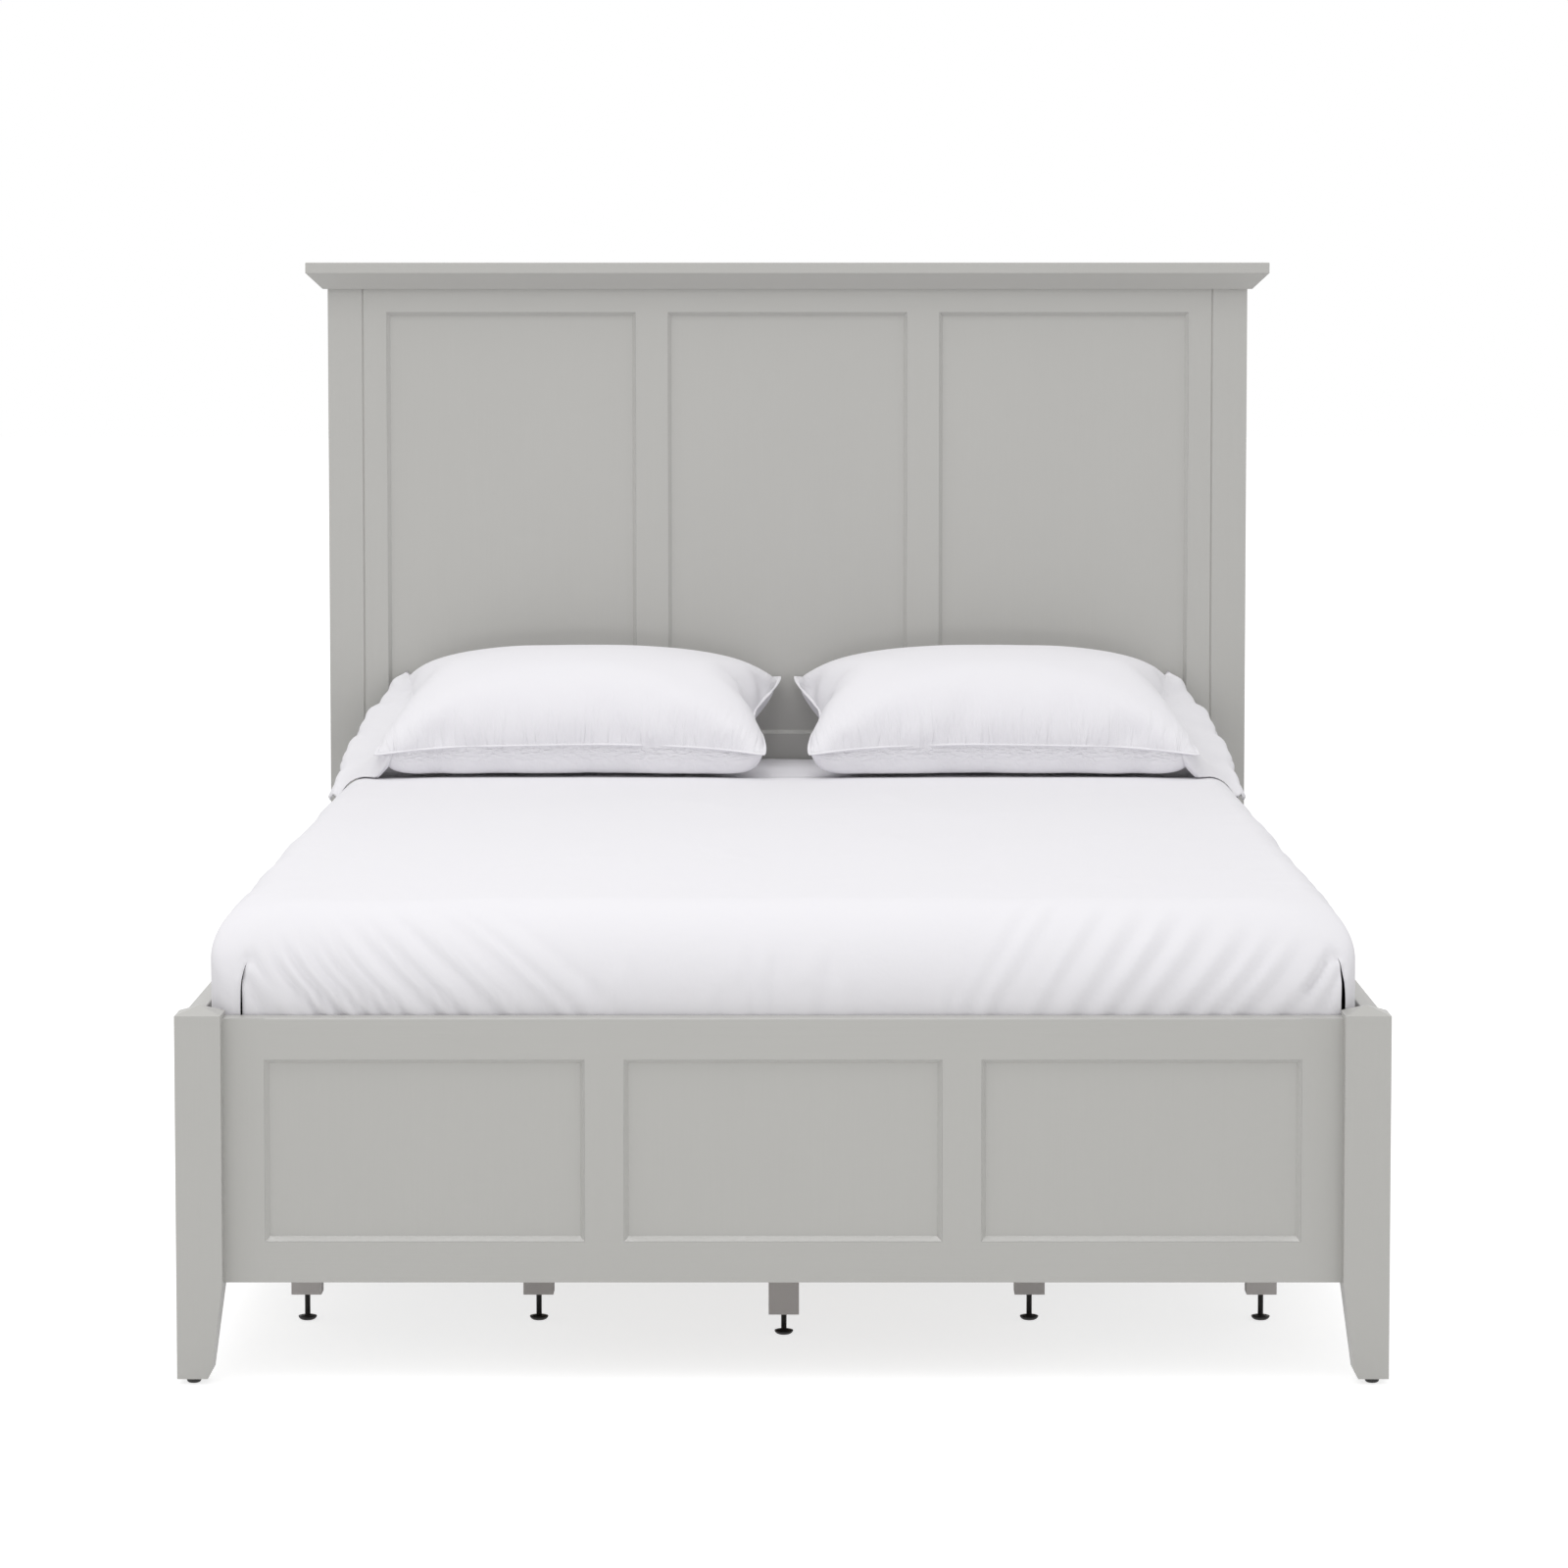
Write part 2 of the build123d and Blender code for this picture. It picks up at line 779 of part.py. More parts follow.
# Footboard
foot_y_span = (front_y, foot_back_y)
foot_frame_thickness = post_depth - foot_frame_setback
foot_frame = framed_end(
    front_y + foot_frame_setback,
    foot_frame_thickness,
    (frame_bottom, frame_top),
    (frame_bottom + foot_rail_height, frame_top - foot_rail_height),
    foot_stile_width,
    foot_mullion_width,
)
save("footboard_stiles", *foot_frame[0])
save("footboard_mullions", *foot_frame[1])
save("footboard_bottom_rail", foot_frame[2])
soft_top_rail = eased(foot_frame[3], lambda edges: edges.filter_by(Axis.X).group_by(Axis.Z)[-1])
save("footboard_top_rail", soft_top_rail)
save("footboard_panels", *foot_frame[4])
save("footboard_panel_mouldings", *foot_frame[5])

# Headboard
head_y_span = (head_y, back_y)
head_frame = framed_end(
    head_y,
    head_frame_thickness,
    (head_bottom_rail_bottom, cap_bottom),
    (head_panel_bottom, crown_bottom - head_top_rail_height),
    head_stile_width,
    head_mullion_width,
)
grooved_stiles = []
for stile, outer_end in zip(head_frame[0], (0, -1)):
    with BuildPart() as grooved_stile:
        add(stile)
        upright = grooved_stile.edges().filter_by(Axis.Z).group_by(Axis.X)[outer_end]
        chamfer(upright.sort_by(Axis.Y)[0], post_joint_chamfer)
    grooved_stiles.append(grooved_stile.part)
save("headboard_stiles", *grooved_stiles)
save("headboard_mullions", *head_frame[1])
save("headboard_bottom_rail", head_frame[2])
save("headboard_top_rail", head_frame[3])
save("headboard_panels", *head_frame[4])
save("headboard_panel_mouldings", *head_frame[5])

# Crown and cap of the headboard
crown_reaches = ((crown_bottom, crown_foot_reach), (cap_bottom, cap_overhang))
with BuildPart() as cap:
    with BuildSketch(Plane.XY.offset(cap_bottom)):
        with Locations((0, (head_y - cap_overhang + back_y) / 2)):
            Rectangle(bed_width + 2 * cap_overhang, post_depth + cap_overhang)
    extrude(amount=cap_thickness)
    chamfer(cap.faces().sort_by(Axis.Z)[-1].edges(), edge_ease)
save(
    "headboard_crown",
    cap.part,
    crown_strip(crown_front, crown_reaches),
    *[crown_strip(crown_return(side), crown_reaches) for side in sides.values()],
)

# Corner brackets, bolts, posts, glides and side rails
brackets, all_bolts, glides = [], [], []
for side_name, side in sides.items():
    foot_bracket, foot_bolts = corner_hardware(side, foot_back_y, 1)
    head_bracket, head_bolts = corner_hardware(side, head_y, -1)
    brackets += [foot_bracket, head_bracket]
    all_bolts += foot_bolts + head_bolts

    foot_glide = post_foot_centre(side, foot_y_span, foot_back_y)
    foot_post = less(
        post_blank(side, foot_y_span, foot_post_shoulder, foot_back_y),
        glide_nail_hole(*foot_glide),
        *foot_bolts,
    )
    with BuildPart() as peaked_post:
        add(foot_post)
        add(peaked_top(side, foot_y_span))
    save(f"footboard_post_{side_name}", peaked_post.part)

    head_glide = post_foot_centre(side, head_y_span, head_y)
    head_post = less(
        post_blank(side, head_y_span, cap_bottom, head_y),
        glide_nail_hole(*head_glide),
        *head_bolts,
    )
    with BuildPart() as grooved_post:
        add(head_post)
        upright = grooved_post.edges().filter_by(Axis.Z)
        front_inner = upright.filter_by_position(Axis.Y, head_y, head_y).filter_by_position(
            Axis.X, *ordered(side * post_inner_x, side * post_inner_x)
        )
        chamfer(front_inner, post_joint_chamfer)
    save(f"headboard_post_{side_name}", grooved_post.part)

    glides += [glide(*foot_glide), glide(*head_glide)]
    save(f"side_rail_{side_name}", *side_rail(side, foot_bolts + head_bolts))
    save(f"drawer_cabinet_{side_name}", *drawer_cabinet(side))
save("rail_brackets", *brackets)
save("bracket_bolts", *all_bolts)
save("post_glides", *glides)

# Drawers and their runners
runners = []
for side_name, side in sides.items():
    for row in range(drawers_per_side):
        middle = bay_middle(row)
        place = f"{side_name}_{drawer_rows[row]}"
        save(f"drawer_front_{place}", drawer_front(side, middle))
        save(f"drawer_box_{place}", *drawer_box(side, middle))
        save(
            f"drawer_knobs_{place}",
            knob(side, middle - knob_spacing / 2),
            knob(side, middle + knob_spacing / 2),
        )
        runners += [
            drawer_runner(side, middle - drawer_box_half, -1),
            drawer_runner(side, middle + drawer_box_half, 1),
        ]
save("drawer_runners", *runners)

# Slats and centre beam
slat_gap = (rail_length - slat_count * slat_width) / (slat_count + 1)
slat_x = (-rail_inner_x + slat_end_gap, rail_inner_x - slat_end_gap)
slat_starts = [
    foot_back_y + slat_gap + index * (slat_width + slat_gap) for index in range(slat_count)
]
save(
    "bed_slats",
    *[board(slat_x, (start, start + slat_width), (cabinet_top, slat_top)) for start in slat_starts],
)
beam_z = (cabinet_top - beam_height, cabinet_top)
ledger_x = (-cabinet_inner_face, cabinet_inner_face)
save(
    "centre_beam",
    board(
        (-beam_width / 2, beam_width / 2),
        (foot_back_y + ledger_thickness, head_y - ledger_thickness),
        beam_z,
    ),
    board(ledger_x, (foot_back_y, foot_back_y + ledger_thickness), beam_z),
    board(ledger_x, (head_y - ledger_thickness, head_y), beam_z),
)

# Support legs and levellers
save("support_legs", *[support_leg(x, y, low, high) for _, x, y, low, high in leg_places()])
for leg_name, leg_x, leg_y, leg_low, _ in leg_places():
    save(f"leveller_{leg_name}", leveller(leg_x, leg_y, leg_low))

# Mattress, sheet and pillows
save("mattress", mattress_body())
save("bed_sheet", sheet_body())
for side_name, side in sides.items():
    save(f"pillow_{side_name}", pillow_body(side))
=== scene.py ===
"""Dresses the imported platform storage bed: paint, mattress, sheets, pillows, floor, light and camera.

Metres. X runs across the bed, Y from the footboard to the headboard, Z up from the floor.
"""

from math import cos, pi, radians, sin

import bmesh
import bpy
import numpy as np
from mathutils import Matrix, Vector, noise


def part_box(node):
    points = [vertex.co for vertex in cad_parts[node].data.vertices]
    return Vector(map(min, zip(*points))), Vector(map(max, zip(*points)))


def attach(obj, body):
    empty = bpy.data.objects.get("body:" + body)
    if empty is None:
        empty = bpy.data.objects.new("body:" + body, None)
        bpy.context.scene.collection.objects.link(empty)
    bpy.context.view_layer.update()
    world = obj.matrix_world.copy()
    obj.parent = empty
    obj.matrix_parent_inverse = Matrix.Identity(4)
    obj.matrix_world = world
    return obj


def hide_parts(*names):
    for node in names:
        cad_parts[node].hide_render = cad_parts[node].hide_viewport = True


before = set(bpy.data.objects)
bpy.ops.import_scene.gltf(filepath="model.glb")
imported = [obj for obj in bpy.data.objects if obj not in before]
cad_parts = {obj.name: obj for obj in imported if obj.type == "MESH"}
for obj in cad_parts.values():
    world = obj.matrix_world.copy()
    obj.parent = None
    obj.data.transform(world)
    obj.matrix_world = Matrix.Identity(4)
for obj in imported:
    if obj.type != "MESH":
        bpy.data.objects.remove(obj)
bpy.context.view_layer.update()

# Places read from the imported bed
front_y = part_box("footboard_post_left")[0].y
head_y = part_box("headboard_post_left")[0].y
sheet_low, sheet_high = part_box("bed_sheet")
mattress_low, mattress_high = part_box("mattress")
slats_low, slats_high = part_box("bed_slats")
legs = [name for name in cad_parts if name.startswith("leveller_")]

# Camera
lens_mm = 105.364
film_shift_x = -0.0112
film_shift_y = -0.12
eye = (0.0257, front_y - 6.2618, 1.5097)
downward_look = 0.0663

# Coverlet
coverlet_half_width = sheet_high.x
coverlet_foot_y = sheet_low.y
coverlet_head_y = front_y + 1.783
coverlet_top = sheet_high.z
coverlet_hem = 0.432
cloth_corner = 0.035
flat_corner = 0.1
side_reach = 0.06
side_fall = 0.075
foot_reach = 0.115
foot_fall = 0.115
foot_drop = 0.225
cloth_thickness = 0.0014
# Folds on each half of the foot: side, count, lean at the corner and the middle, breadth, height
foot_fold_rows = ((-1, 17, 0.02, 0.24, 1, 1.1), (1, 10, 0.04, 0.11, 1.1, 0.7))
foot_fold_span = (0.735, 0.5)
foot_fold_width = (0.009, 0.0115)
foot_fold_height = (0.0042, 0.006)
middle_fold_count = 14
side_fold_count = 21
side_fold_pitch = 0.076
top_crease_count = 30
slit_row = 20
slit_ease = 12
left_slit_place = (-0.754, coverlet_foot_y)
right_slit_place = (0.778, coverlet_foot_y + 0.005)

# Under sheet and mattress
under_sheet_inset = 0.0065
under_sheet_drop = 0.0028
under_sheet_head_gap = 0.001
under_hem = coverlet_hem + 0.01
head_drop_rows = 10
bare_reach = 0.16
bare_drop = 0.05
mattress_grow = 0.012
mattress_rim = 0.09
mattress_corner = 0.06
# Painted shade: the mattress's sides between these heights are charcoal, so the slits and gaps beside the
# coverlet show dark
mattress_shade_band = (mattress_low.z + 0.028, mattress_high.z - 0.052)
mattress_underside_edge = 0.03
piping_radius = 0.003

# Slats and levelling feet
slat_count = 14
slat_width = 0.089
thread_clear = 0.0115
thread_pitch = 0.00125
thread_root = 0.00388
thread_ridge = 0.00015
outer_leg_low = 0.04
centre_leg_low = 0.0315
screw_radius = 0.0045
screw_height = 0.0014
screw_sink = 0.0012
screw_inset = 0.03
screw_apart = 0.02

# Pillows
pillow_flat_width = 0.762
pillow_flat_depth = 0.508
pillow_taper = 0.022
pillow_width = 0.684
pillow_depth = 0.4
pillow_loft = 0.236
pillow_tilt = radians(15)
pillow_seam_middle = 0.7525
pillow_centre = 0.3795
pillow_skew = 0.06
pillow_cells = (96, 64)
gather_reach = 0.085
belly_place = 0.055
belly_drop = 0.042
fill_pressure = 9.0
fill_frames = 18
ease_rounds = 14
soft_zone = 0.022
case_flat = (0.13, 1.016)
case_rows = 16
case_sag = 0.045
case_mouth = (
    np.array((0.808, 0.73, 0.61)),
    np.array((0.8, 0.96, 0.7)),
    np.array((0.7, head_y - 0.012, 0.808)),
)


# Floor and light
floor_reach = 40
floor_glow = 0.75
sky_strength = 0.72
overhead_lamp = {"place": (-0.8, -1.1, 5.0), "target": (-0.3, -0.5, 0.6), "size": (4.2, 4.2), "power": 98}
low_lamp = {"place": (0, -5.2, 0.35), "target": (0, 0, 0.25), "size": (5, 0.5), "power": 20}


# Node trees
class Wire:
    """One output of a node. Arithmetic on it adds the Math nodes that work it out."""

    def __init__(self, nodes, socket):
        self.nodes = nodes
        self.socket = socket

    def math(self, operation, *operands):
        return self.nodes.node(
            "ShaderNodeMath", {"operation": operation}, dict(enumerate(operands))
        )

    def __add__(self, other):
        return self.math("ADD", self, other)

    def __radd__(self, other):
        return self.math("ADD", other, self)

    def __sub__(self, other):
        return self.math("SUBTRACT", self, other)

    def __rsub__(self, other):
        return self.math("SUBTRACT", other, self)

    def __mul__(self, other):
        return self.math("MULTIPLY", self, other)

    def __rmul__(self, other):
        return self.math("MULTIPLY", other, self)

    def __truediv__(self, other):
        return self.math("DIVIDE", self, other)

    def sine(self):
        return self.math("SINE", self)


class Nodes:
    """A node tree that is written as Python expressions."""

    def __init__(self, tree):
        self.tree = tree
        tree.nodes.clear()

    @staticmethod
    def socket(sockets, key):
        """A socket by its number, its identifier or its name."""
        if isinstance(key, int):
            return sockets[key]
        exact = [s for s in sockets if s.identifier == key]
        return exact[0] if exact else next(s for s in sockets if s.name == key and s.enabled)

    def node(self, kind, settings=None, inputs=None, output=0):
        """A node of one kind, with its settings first and then its sockets' values or links."""
        made = self.tree.nodes.new(kind)
        for name, value in (settings or {}).items():
            setattr(made, name, value)
        for key, value in (inputs or {}).items():
            socket = self.socket(made.inputs, key)
            if isinstance(value, Wire):
                self.tree.links.new(value.socket, socket)
            else:
                socket.default_value = value
        if not made.outputs:
            return None
        return Wire(self, self.socket(made.outputs, output))


class Finish(Nodes):
    """The nodes of one material."""

    def __init__(self, name):
        self.material = bpy.data.materials.new(name)
        self.material.use_nodes = True
        super().__init__(self.material.node_tree)

    def place(self):
        """The place on the piece, in metres."""
        return self.node("ShaderNodeTexCoord", output="Object")

    def cloth_place(self):
        """The place on the cut cloth, in metres, from the piece's UV map."""
        return self.node("ShaderNodeUVMap", {"uv_map": "cut"})

    def stretched(self, place, scale):
        return self.node("ShaderNodeMapping", inputs={"Vector": place, "Scale": scale})

    def noise(self, place, scale, detail=2.0, roughness=0.5, distortion=0.0):
        return self.node(
            "ShaderNodeTexNoise",
            inputs={
                "Vector": place,
                "Scale": scale,
                "Detail": detail,
                "Roughness": roughness,
                "Distortion": distortion,
            },
        )

    def mixed(self, share, first, second):
        """A colour between two colours."""
        return self.node(
            "ShaderNodeMix",
            {"data_type": "RGBA"},
            {"Factor_Float": share, "A_Color": first, "B_Color": second},
            "Result_Color",
        )

    def bump(self, height, distance, under=None):
        sockets = {"Height": height, "Distance": distance, "Strength": 1.0}
        if under is not None:
            sockets["Normal"] = under
        return self.node("ShaderNodeBump", inputs=sockets)

    def surface(self, **sockets):
        """The finished surface. Underscores in the names stand for spaces."""
        named = {key.replace("_", " "): value for key, value in sockets.items()}
        shader = self.node("ShaderNodeBsdfPrincipled", inputs=named)
        self.node("ShaderNodeOutputMaterial", inputs={"Surface": shader})
        return self.material


def rgb(red, green, blue):
    return (red, green, blue, 1.0)


def shade(colour, factor):
    return (*[channel * factor for channel in colour[:3]], 1.0)


ALONG = {"x": (0.03, 1, 1), "y": (1, 0.03, 1), "z": (1, 1, 0.03)}


# Finishes
def paint(name, colour, along, roughness=0.38, gloss=0.0):
    """Satin paint with faint brush marks along the board, and a coat of gloss where it lies thick."""
    f = Finish(name)
    place = f.place()
    brushed = f.noise(f.stretched(place, ALONG[along]), 260, detail=3)
    peel = f.noise(place, 700, detail=1)
    cloudy = f.noise(place, 2.3, detail=3)
    tint = f.mixed(cloudy, shade(colour, 0.975), shade(colour, 1.025))
    flecked = f.mixed(brushed * 0.25, tint, shade(colour, 0.93))
    strokes = f.bump(brushed, 0.00012 * (1 - gloss * 0.75))
    return f.surface(
        Base_Color=flecked,
        Roughness=brushed * 0.08 + (roughness - 0.04),
        Normal=f.bump(peel, 0.00006, under=strokes),
        Specular_IOR_Level=0.5 + gloss * 0.5,
        Coat_Weight=gloss,
        Coat_Roughness=0.22,
    )


def planed_wood(name, light, dark, along, roughness=0.55):
    """Clear wood: long grain bands, fine pores and a little colour drift."""
    f = Finish(name)
    place = f.place()
    warped = f.noise(f.stretched(place, ALONG[along]), 9, detail=4, distortion=0.6)
    bands = (warped * 60).sine() * 0.5 + 0.5
    pores = f.noise(f.stretched(place, ALONG[along]), 520, detail=2, roughness=0.7)
    drift = f.noise(place, 1.7, detail=2)
    grain = f.mixed(bands * 0.55, light, dark)
    drifted = f.mixed(drift * 0.35, grain, shade(light, 1.12))
    pored = f.mixed(pores * 0.3, drifted, shade(dark, 0.75))
    return f.surface(
        Base_Color=pored,
        Roughness=pores * 0.16 + (roughness - 0.08),
        Normal=f.bump(pores, 0.00015, under=f.bump(bands, 0.00008)),
        Specular_IOR_Level=0.35,
    )


def metal(name, colour, roughness, metallic, fleck_scale, fleck=0.2, thread=0.0):
    """Metal or a coat on it, with fine flecks in its colour and gloss, and a screw thread on a rod."""
    f = Finish(name)
    place = f.place()
    cells = f.node(
        "ShaderNodeTexVoronoi", inputs={"Vector": place, "Scale": fleck_scale}, output="Color"
    )
    level = f.node("ShaderNodeSeparateColor", inputs={"Color": cells})
    wear = f.noise(place, 85, detail=4)
    toned = f.mixed(level * fleck, colour, shade(colour, 0.72))
    relief = f.bump(wear, 0.00005)
    if thread:
        height = f.node("ShaderNodeSeparateXYZ", inputs={"Vector": place}, output="Z")
        relief = f.bump((height * (2 * pi / thread)).sine(), 0.0004, under=relief)
    return f.surface(
        Base_Color=f.mixed(wear * 0.25, toned, shade(colour, 1.25)),
        Roughness=level * 0.06 + wear * 0.12 + (roughness - 0.09),
        Metallic=metallic,
        Normal=relief,
    )


def cotton(name, colour, crumple=0.0007, weave_pitch=0.0009, puckers=False):
    """Fine white cotton: a plain weave, soft crumpling and a little sheen."""
    f = Finish(name)
    cut = f.cloth_place()
    across = f.node("ShaderNodeSeparateXYZ", inputs={"Vector": cut}, output="X")
    along = f.node("ShaderNodeSeparateXYZ", inputs={"Vector": cut}, output="Y")
    turns = 2 * pi / weave_pitch
    weave = (across * turns).sine() * (along * turns).sine() * 0.5 + 0.5
    slubs = f.noise(f.stretched(cut, (1, 0.06, 1)), 900, detail=2)
    creases = f.noise(cut, 16, detail=4, roughness=0.55, distortion=0.8)
    fine = f.noise(cut, 60, detail=3, roughness=0.5, distortion=0.4)
    toned = f.mixed(slubs * 0.3 + weave * 0.12, colour, shade(colour, 0.955))
    crumpled = f.bump(creases, crumple, under=f.bump(fine, crumple * 0.3))
    if puckers:
        near = f.node("ShaderNodeAttribute", {"attribute_name": "near_seam"}, output="Fac")
        gathers = f.noise(f.stretched(cut, (1, 0.13, 1)), 75, detail=2, distortion=0.5)
        crumpled = f.bump(gathers * near, 0.006, under=crumpled)
    return f.surface(
        Base_Color=toned,
        Roughness=slubs * 0.1 + 0.8,
        Normal=f.bump(weave, 0.00003, under=crumpled),
        Sheen_Weight=0.12,
        Sheen_Roughness=0.4,
        Specular_IOR_Level=0.2,
    )


def ticking(name, top, shade_band_colour, shade_band_span, rib_pitch=0.006, quilt_pitch=0.16):
    """Mattress ticking: quilted white panels above and below a ribbed band whose charcoal colour is painted
    shade, so the gaps beside the bedding look dark.
    """
    f = Finish(name)
    place = f.place()
    height = f.node("ShaderNodeSeparateXYZ", inputs={"Vector": place}, output="Z")
    above = height.math("GREATER_THAN", height, shade_band_span[0])
    below = height.math("LESS_THAN", height, shade_band_span[1])
    on_shade_band = above * below
    across = f.node("ShaderNodeSeparateXYZ", inputs={"Vector": place}, output="X")
    along = f.node("ShaderNodeSeparateXYZ", inputs={"Vector": place}, output="Y")
    turns = 2 * pi / quilt_pitch
    quilt = ((across + along) * turns).sine() * ((across - along) * turns).sine()
    ribs = (height * (2 * pi / rib_pitch)).sine() * 0.5 + 0.5
    loops = f.noise(place, 1400, detail=2)
    panel = f.mixed(loops * 0.4, top, shade(top, 0.86))
    # Painted shade: the side band's charcoal colour stands for the shade in the gaps beside the bedding; its
    # ribs are real
    side = f.mixed(ribs * 0.5 + loops * 0.3, shade_band_colour, shade(shade_band_colour, 0.6))
    quilted = f.bump(quilt * (1 - on_shade_band), 0.004, under=f.bump(loops, 0.0002))
    return f.surface(
        Base_Color=f.mixed(on_shade_band, panel, side),
        Roughness=loops * 0.1 + 0.85,
        Normal=f.bump(ribs * on_shade_band, 0.0004, under=quilted),
        Sheen_Weight=0.2,
        Specular_IOR_Level=0.2,
    )


GREY = rgb(0.47, 0.465, 0.445)
paints = {axis: paint(f"grey_paint_along_{axis}", GREY, axis) for axis in ALONG}
bead_paint = paint("grey_paint_on_beads", GREY, "x", 0.22, gloss=1.0)
# Painted light: the legs' grey is much lighter than the bed's own paint, to make up for the shade under the
# bed
leg_paint = paint("leg_paint", rgb(0.62, 0.59, 0.575), "z", 0.6)
cabinet_board = paint("cabinet_board", rgb(0.42, 0.415, 0.4), "y", 0.55)
birch = planed_wood("drawer_birch", rgb(0.68, 0.53, 0.36), rgb(0.52, 0.36, 0.21), "x")
pine = planed_wood("bare_pine", rgb(0.66, 0.49, 0.31), rgb(0.47, 0.28, 0.13), "x", 0.6)
black_steel = metal("black_steel", rgb(0.018, 0.016, 0.015), 0.42, 0.0, 900)
threaded_steel = metal(
    "black_steel_thread", rgb(0.018, 0.016, 0.015), 0.42, 0.0, 900, thread=thread_pitch
)
zinc_steel = metal("zinc_steel", rgb(0.55, 0.55, 0.55), 0.38, 1.0, 160, fleck=0.5)
satin_nickel = metal("satin_nickel", rgb(0.56, 0.53, 0.49), 0.3, 1.0, 1200)
glide_plastic = metal("glide_plastic", rgb(0.03, 0.03, 0.03), 0.6, 0.0, 700)
sheet_cotton = cotton("white_sheet_cotton", rgb(0.83, 0.82, 0.85))
pillow_cotton = cotton("white_pillow_cotton", rgb(0.83, 0.82, 0.85), crumple=0.0004, puckers=True)
thread_cotton = cotton("white_thread", rgb(0.8, 0.79, 0.82))
# The ticking's charcoal side band is painted shade for the slits and gaps at the mattress's sides
striped_ticking = ticking("mattress_ticking", rgb(0.8, 0.8, 0.8), rgb(0.03, 0.03, 0.032), mattress_shade_band)

# The first row whose words a piece's name holds gives its finish
piece_finishes = (
    (("leveller",), threaded_steel),
    (("rail_brackets", "bracket_bolts"), zinc_steel),
    (("drawer_knobs",), satin_nickel),
    (("post_glides",), glide_plastic),
    (("bed_slats", "centre_beam"), pine),
    (("drawer_box", "drawer_runners"), birch),
    (("drawer_cabinet",), cabinet_board),
    (("support_legs",), leg_paint),
    (("mouldings",), bead_paint),
    (("side_rail", "drawer_front"), paints["y"]),
    (("headboard_post", "footboard_post", "stiles", "mullions", "panels"), paints["z"]),
    (("",), paints["x"]),
)
for name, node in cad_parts.items():
    finish = next(f for words, f in piece_finishes if any(word in name for word in words))
    node.data.materials.clear()
    node.data.materials.append(finish)


# Meshes
def linked(name, mesh, material):
    """A smooth object for a mesh, at the origin."""
    mesh.materials.append(material)
    mesh.shade_smooth()
    piece = bpy.data.objects.new(name, mesh)
    bpy.context.scene.collection.objects.link(piece)
    return piece


def new_piece(name, vertices, faces, material, cut=None):
    """A mesh object at the origin, with the cut cloth's places as its UV map."""
    mesh = bpy.data.meshes.new(name)
    mesh.from_pydata([tuple(v) for v in vertices], [], faces)
    if cut is not None:
        layer = mesh.uv_layers.new(name="cut")
        loops = np.empty(len(mesh.loops), np.int32)
        mesh.loops.foreach_get("vertex_index", loops)
        layer.data.foreach_set("uv", np.asarray(cut, np.float32)[loops].ravel())
    return linked(name, mesh, material)


def thicken(piece, thickness):
    """Give a sheet of cloth its thickness, on its inner side."""
    wall = piece.modifiers.new("cloth_thickness", "SOLIDIFY")
    wall.thickness = thickness
    wall.offset = -1


def ring_faces(rings, count, joined=False):
    """Quads between rings of vertices, one ring after the other. A joined row of rings ends on its first."""
    return [
        (
            r * count + k,
            r * count + (k + 1) % count,
            (r + 1) % rings * count + (k + 1) % count,
            (r + 1) % rings * count + k,
        )
        for r in range(rings if joined else rings - 1)
        for k in range(count)
    ]


def vertex_normals(points, faces):
    """The unit normal at every vertex."""
    quads = np.array([face for face in faces if len(face) == 4])
    across = points[quads[:, 2]] - points[quads[:, 0]]
    along = points[quads[:, 3]] - points[quads[:, 1]]
    normals = np.zeros_like(points)
    for corner in range(4):
        np.add.at(normals, quads[:, corner], np.cross(across, along))
    return normals / np.linalg.norm(normals, axis=1)[:, None]


def smoothstep(low, high, values):
    t = np.clip((values - low) / (high - low), 0, 1)
    return t * t * (3 - 2 * t)


def noise_field(points, scale, seed):
    """Smooth noise from -1 to 1 at each point."""
    offset = Vector((seed * 17.3, seed * 5.1, seed * 9.7))
    return np.array([noise.noise(Vector(p) * scale + offset) for p in points])


def leg_underside(leg):
    """The height of the support leg's lower end above a levelling foot."""
    return centre_leg_low if "centre" in leg else outer_leg_low


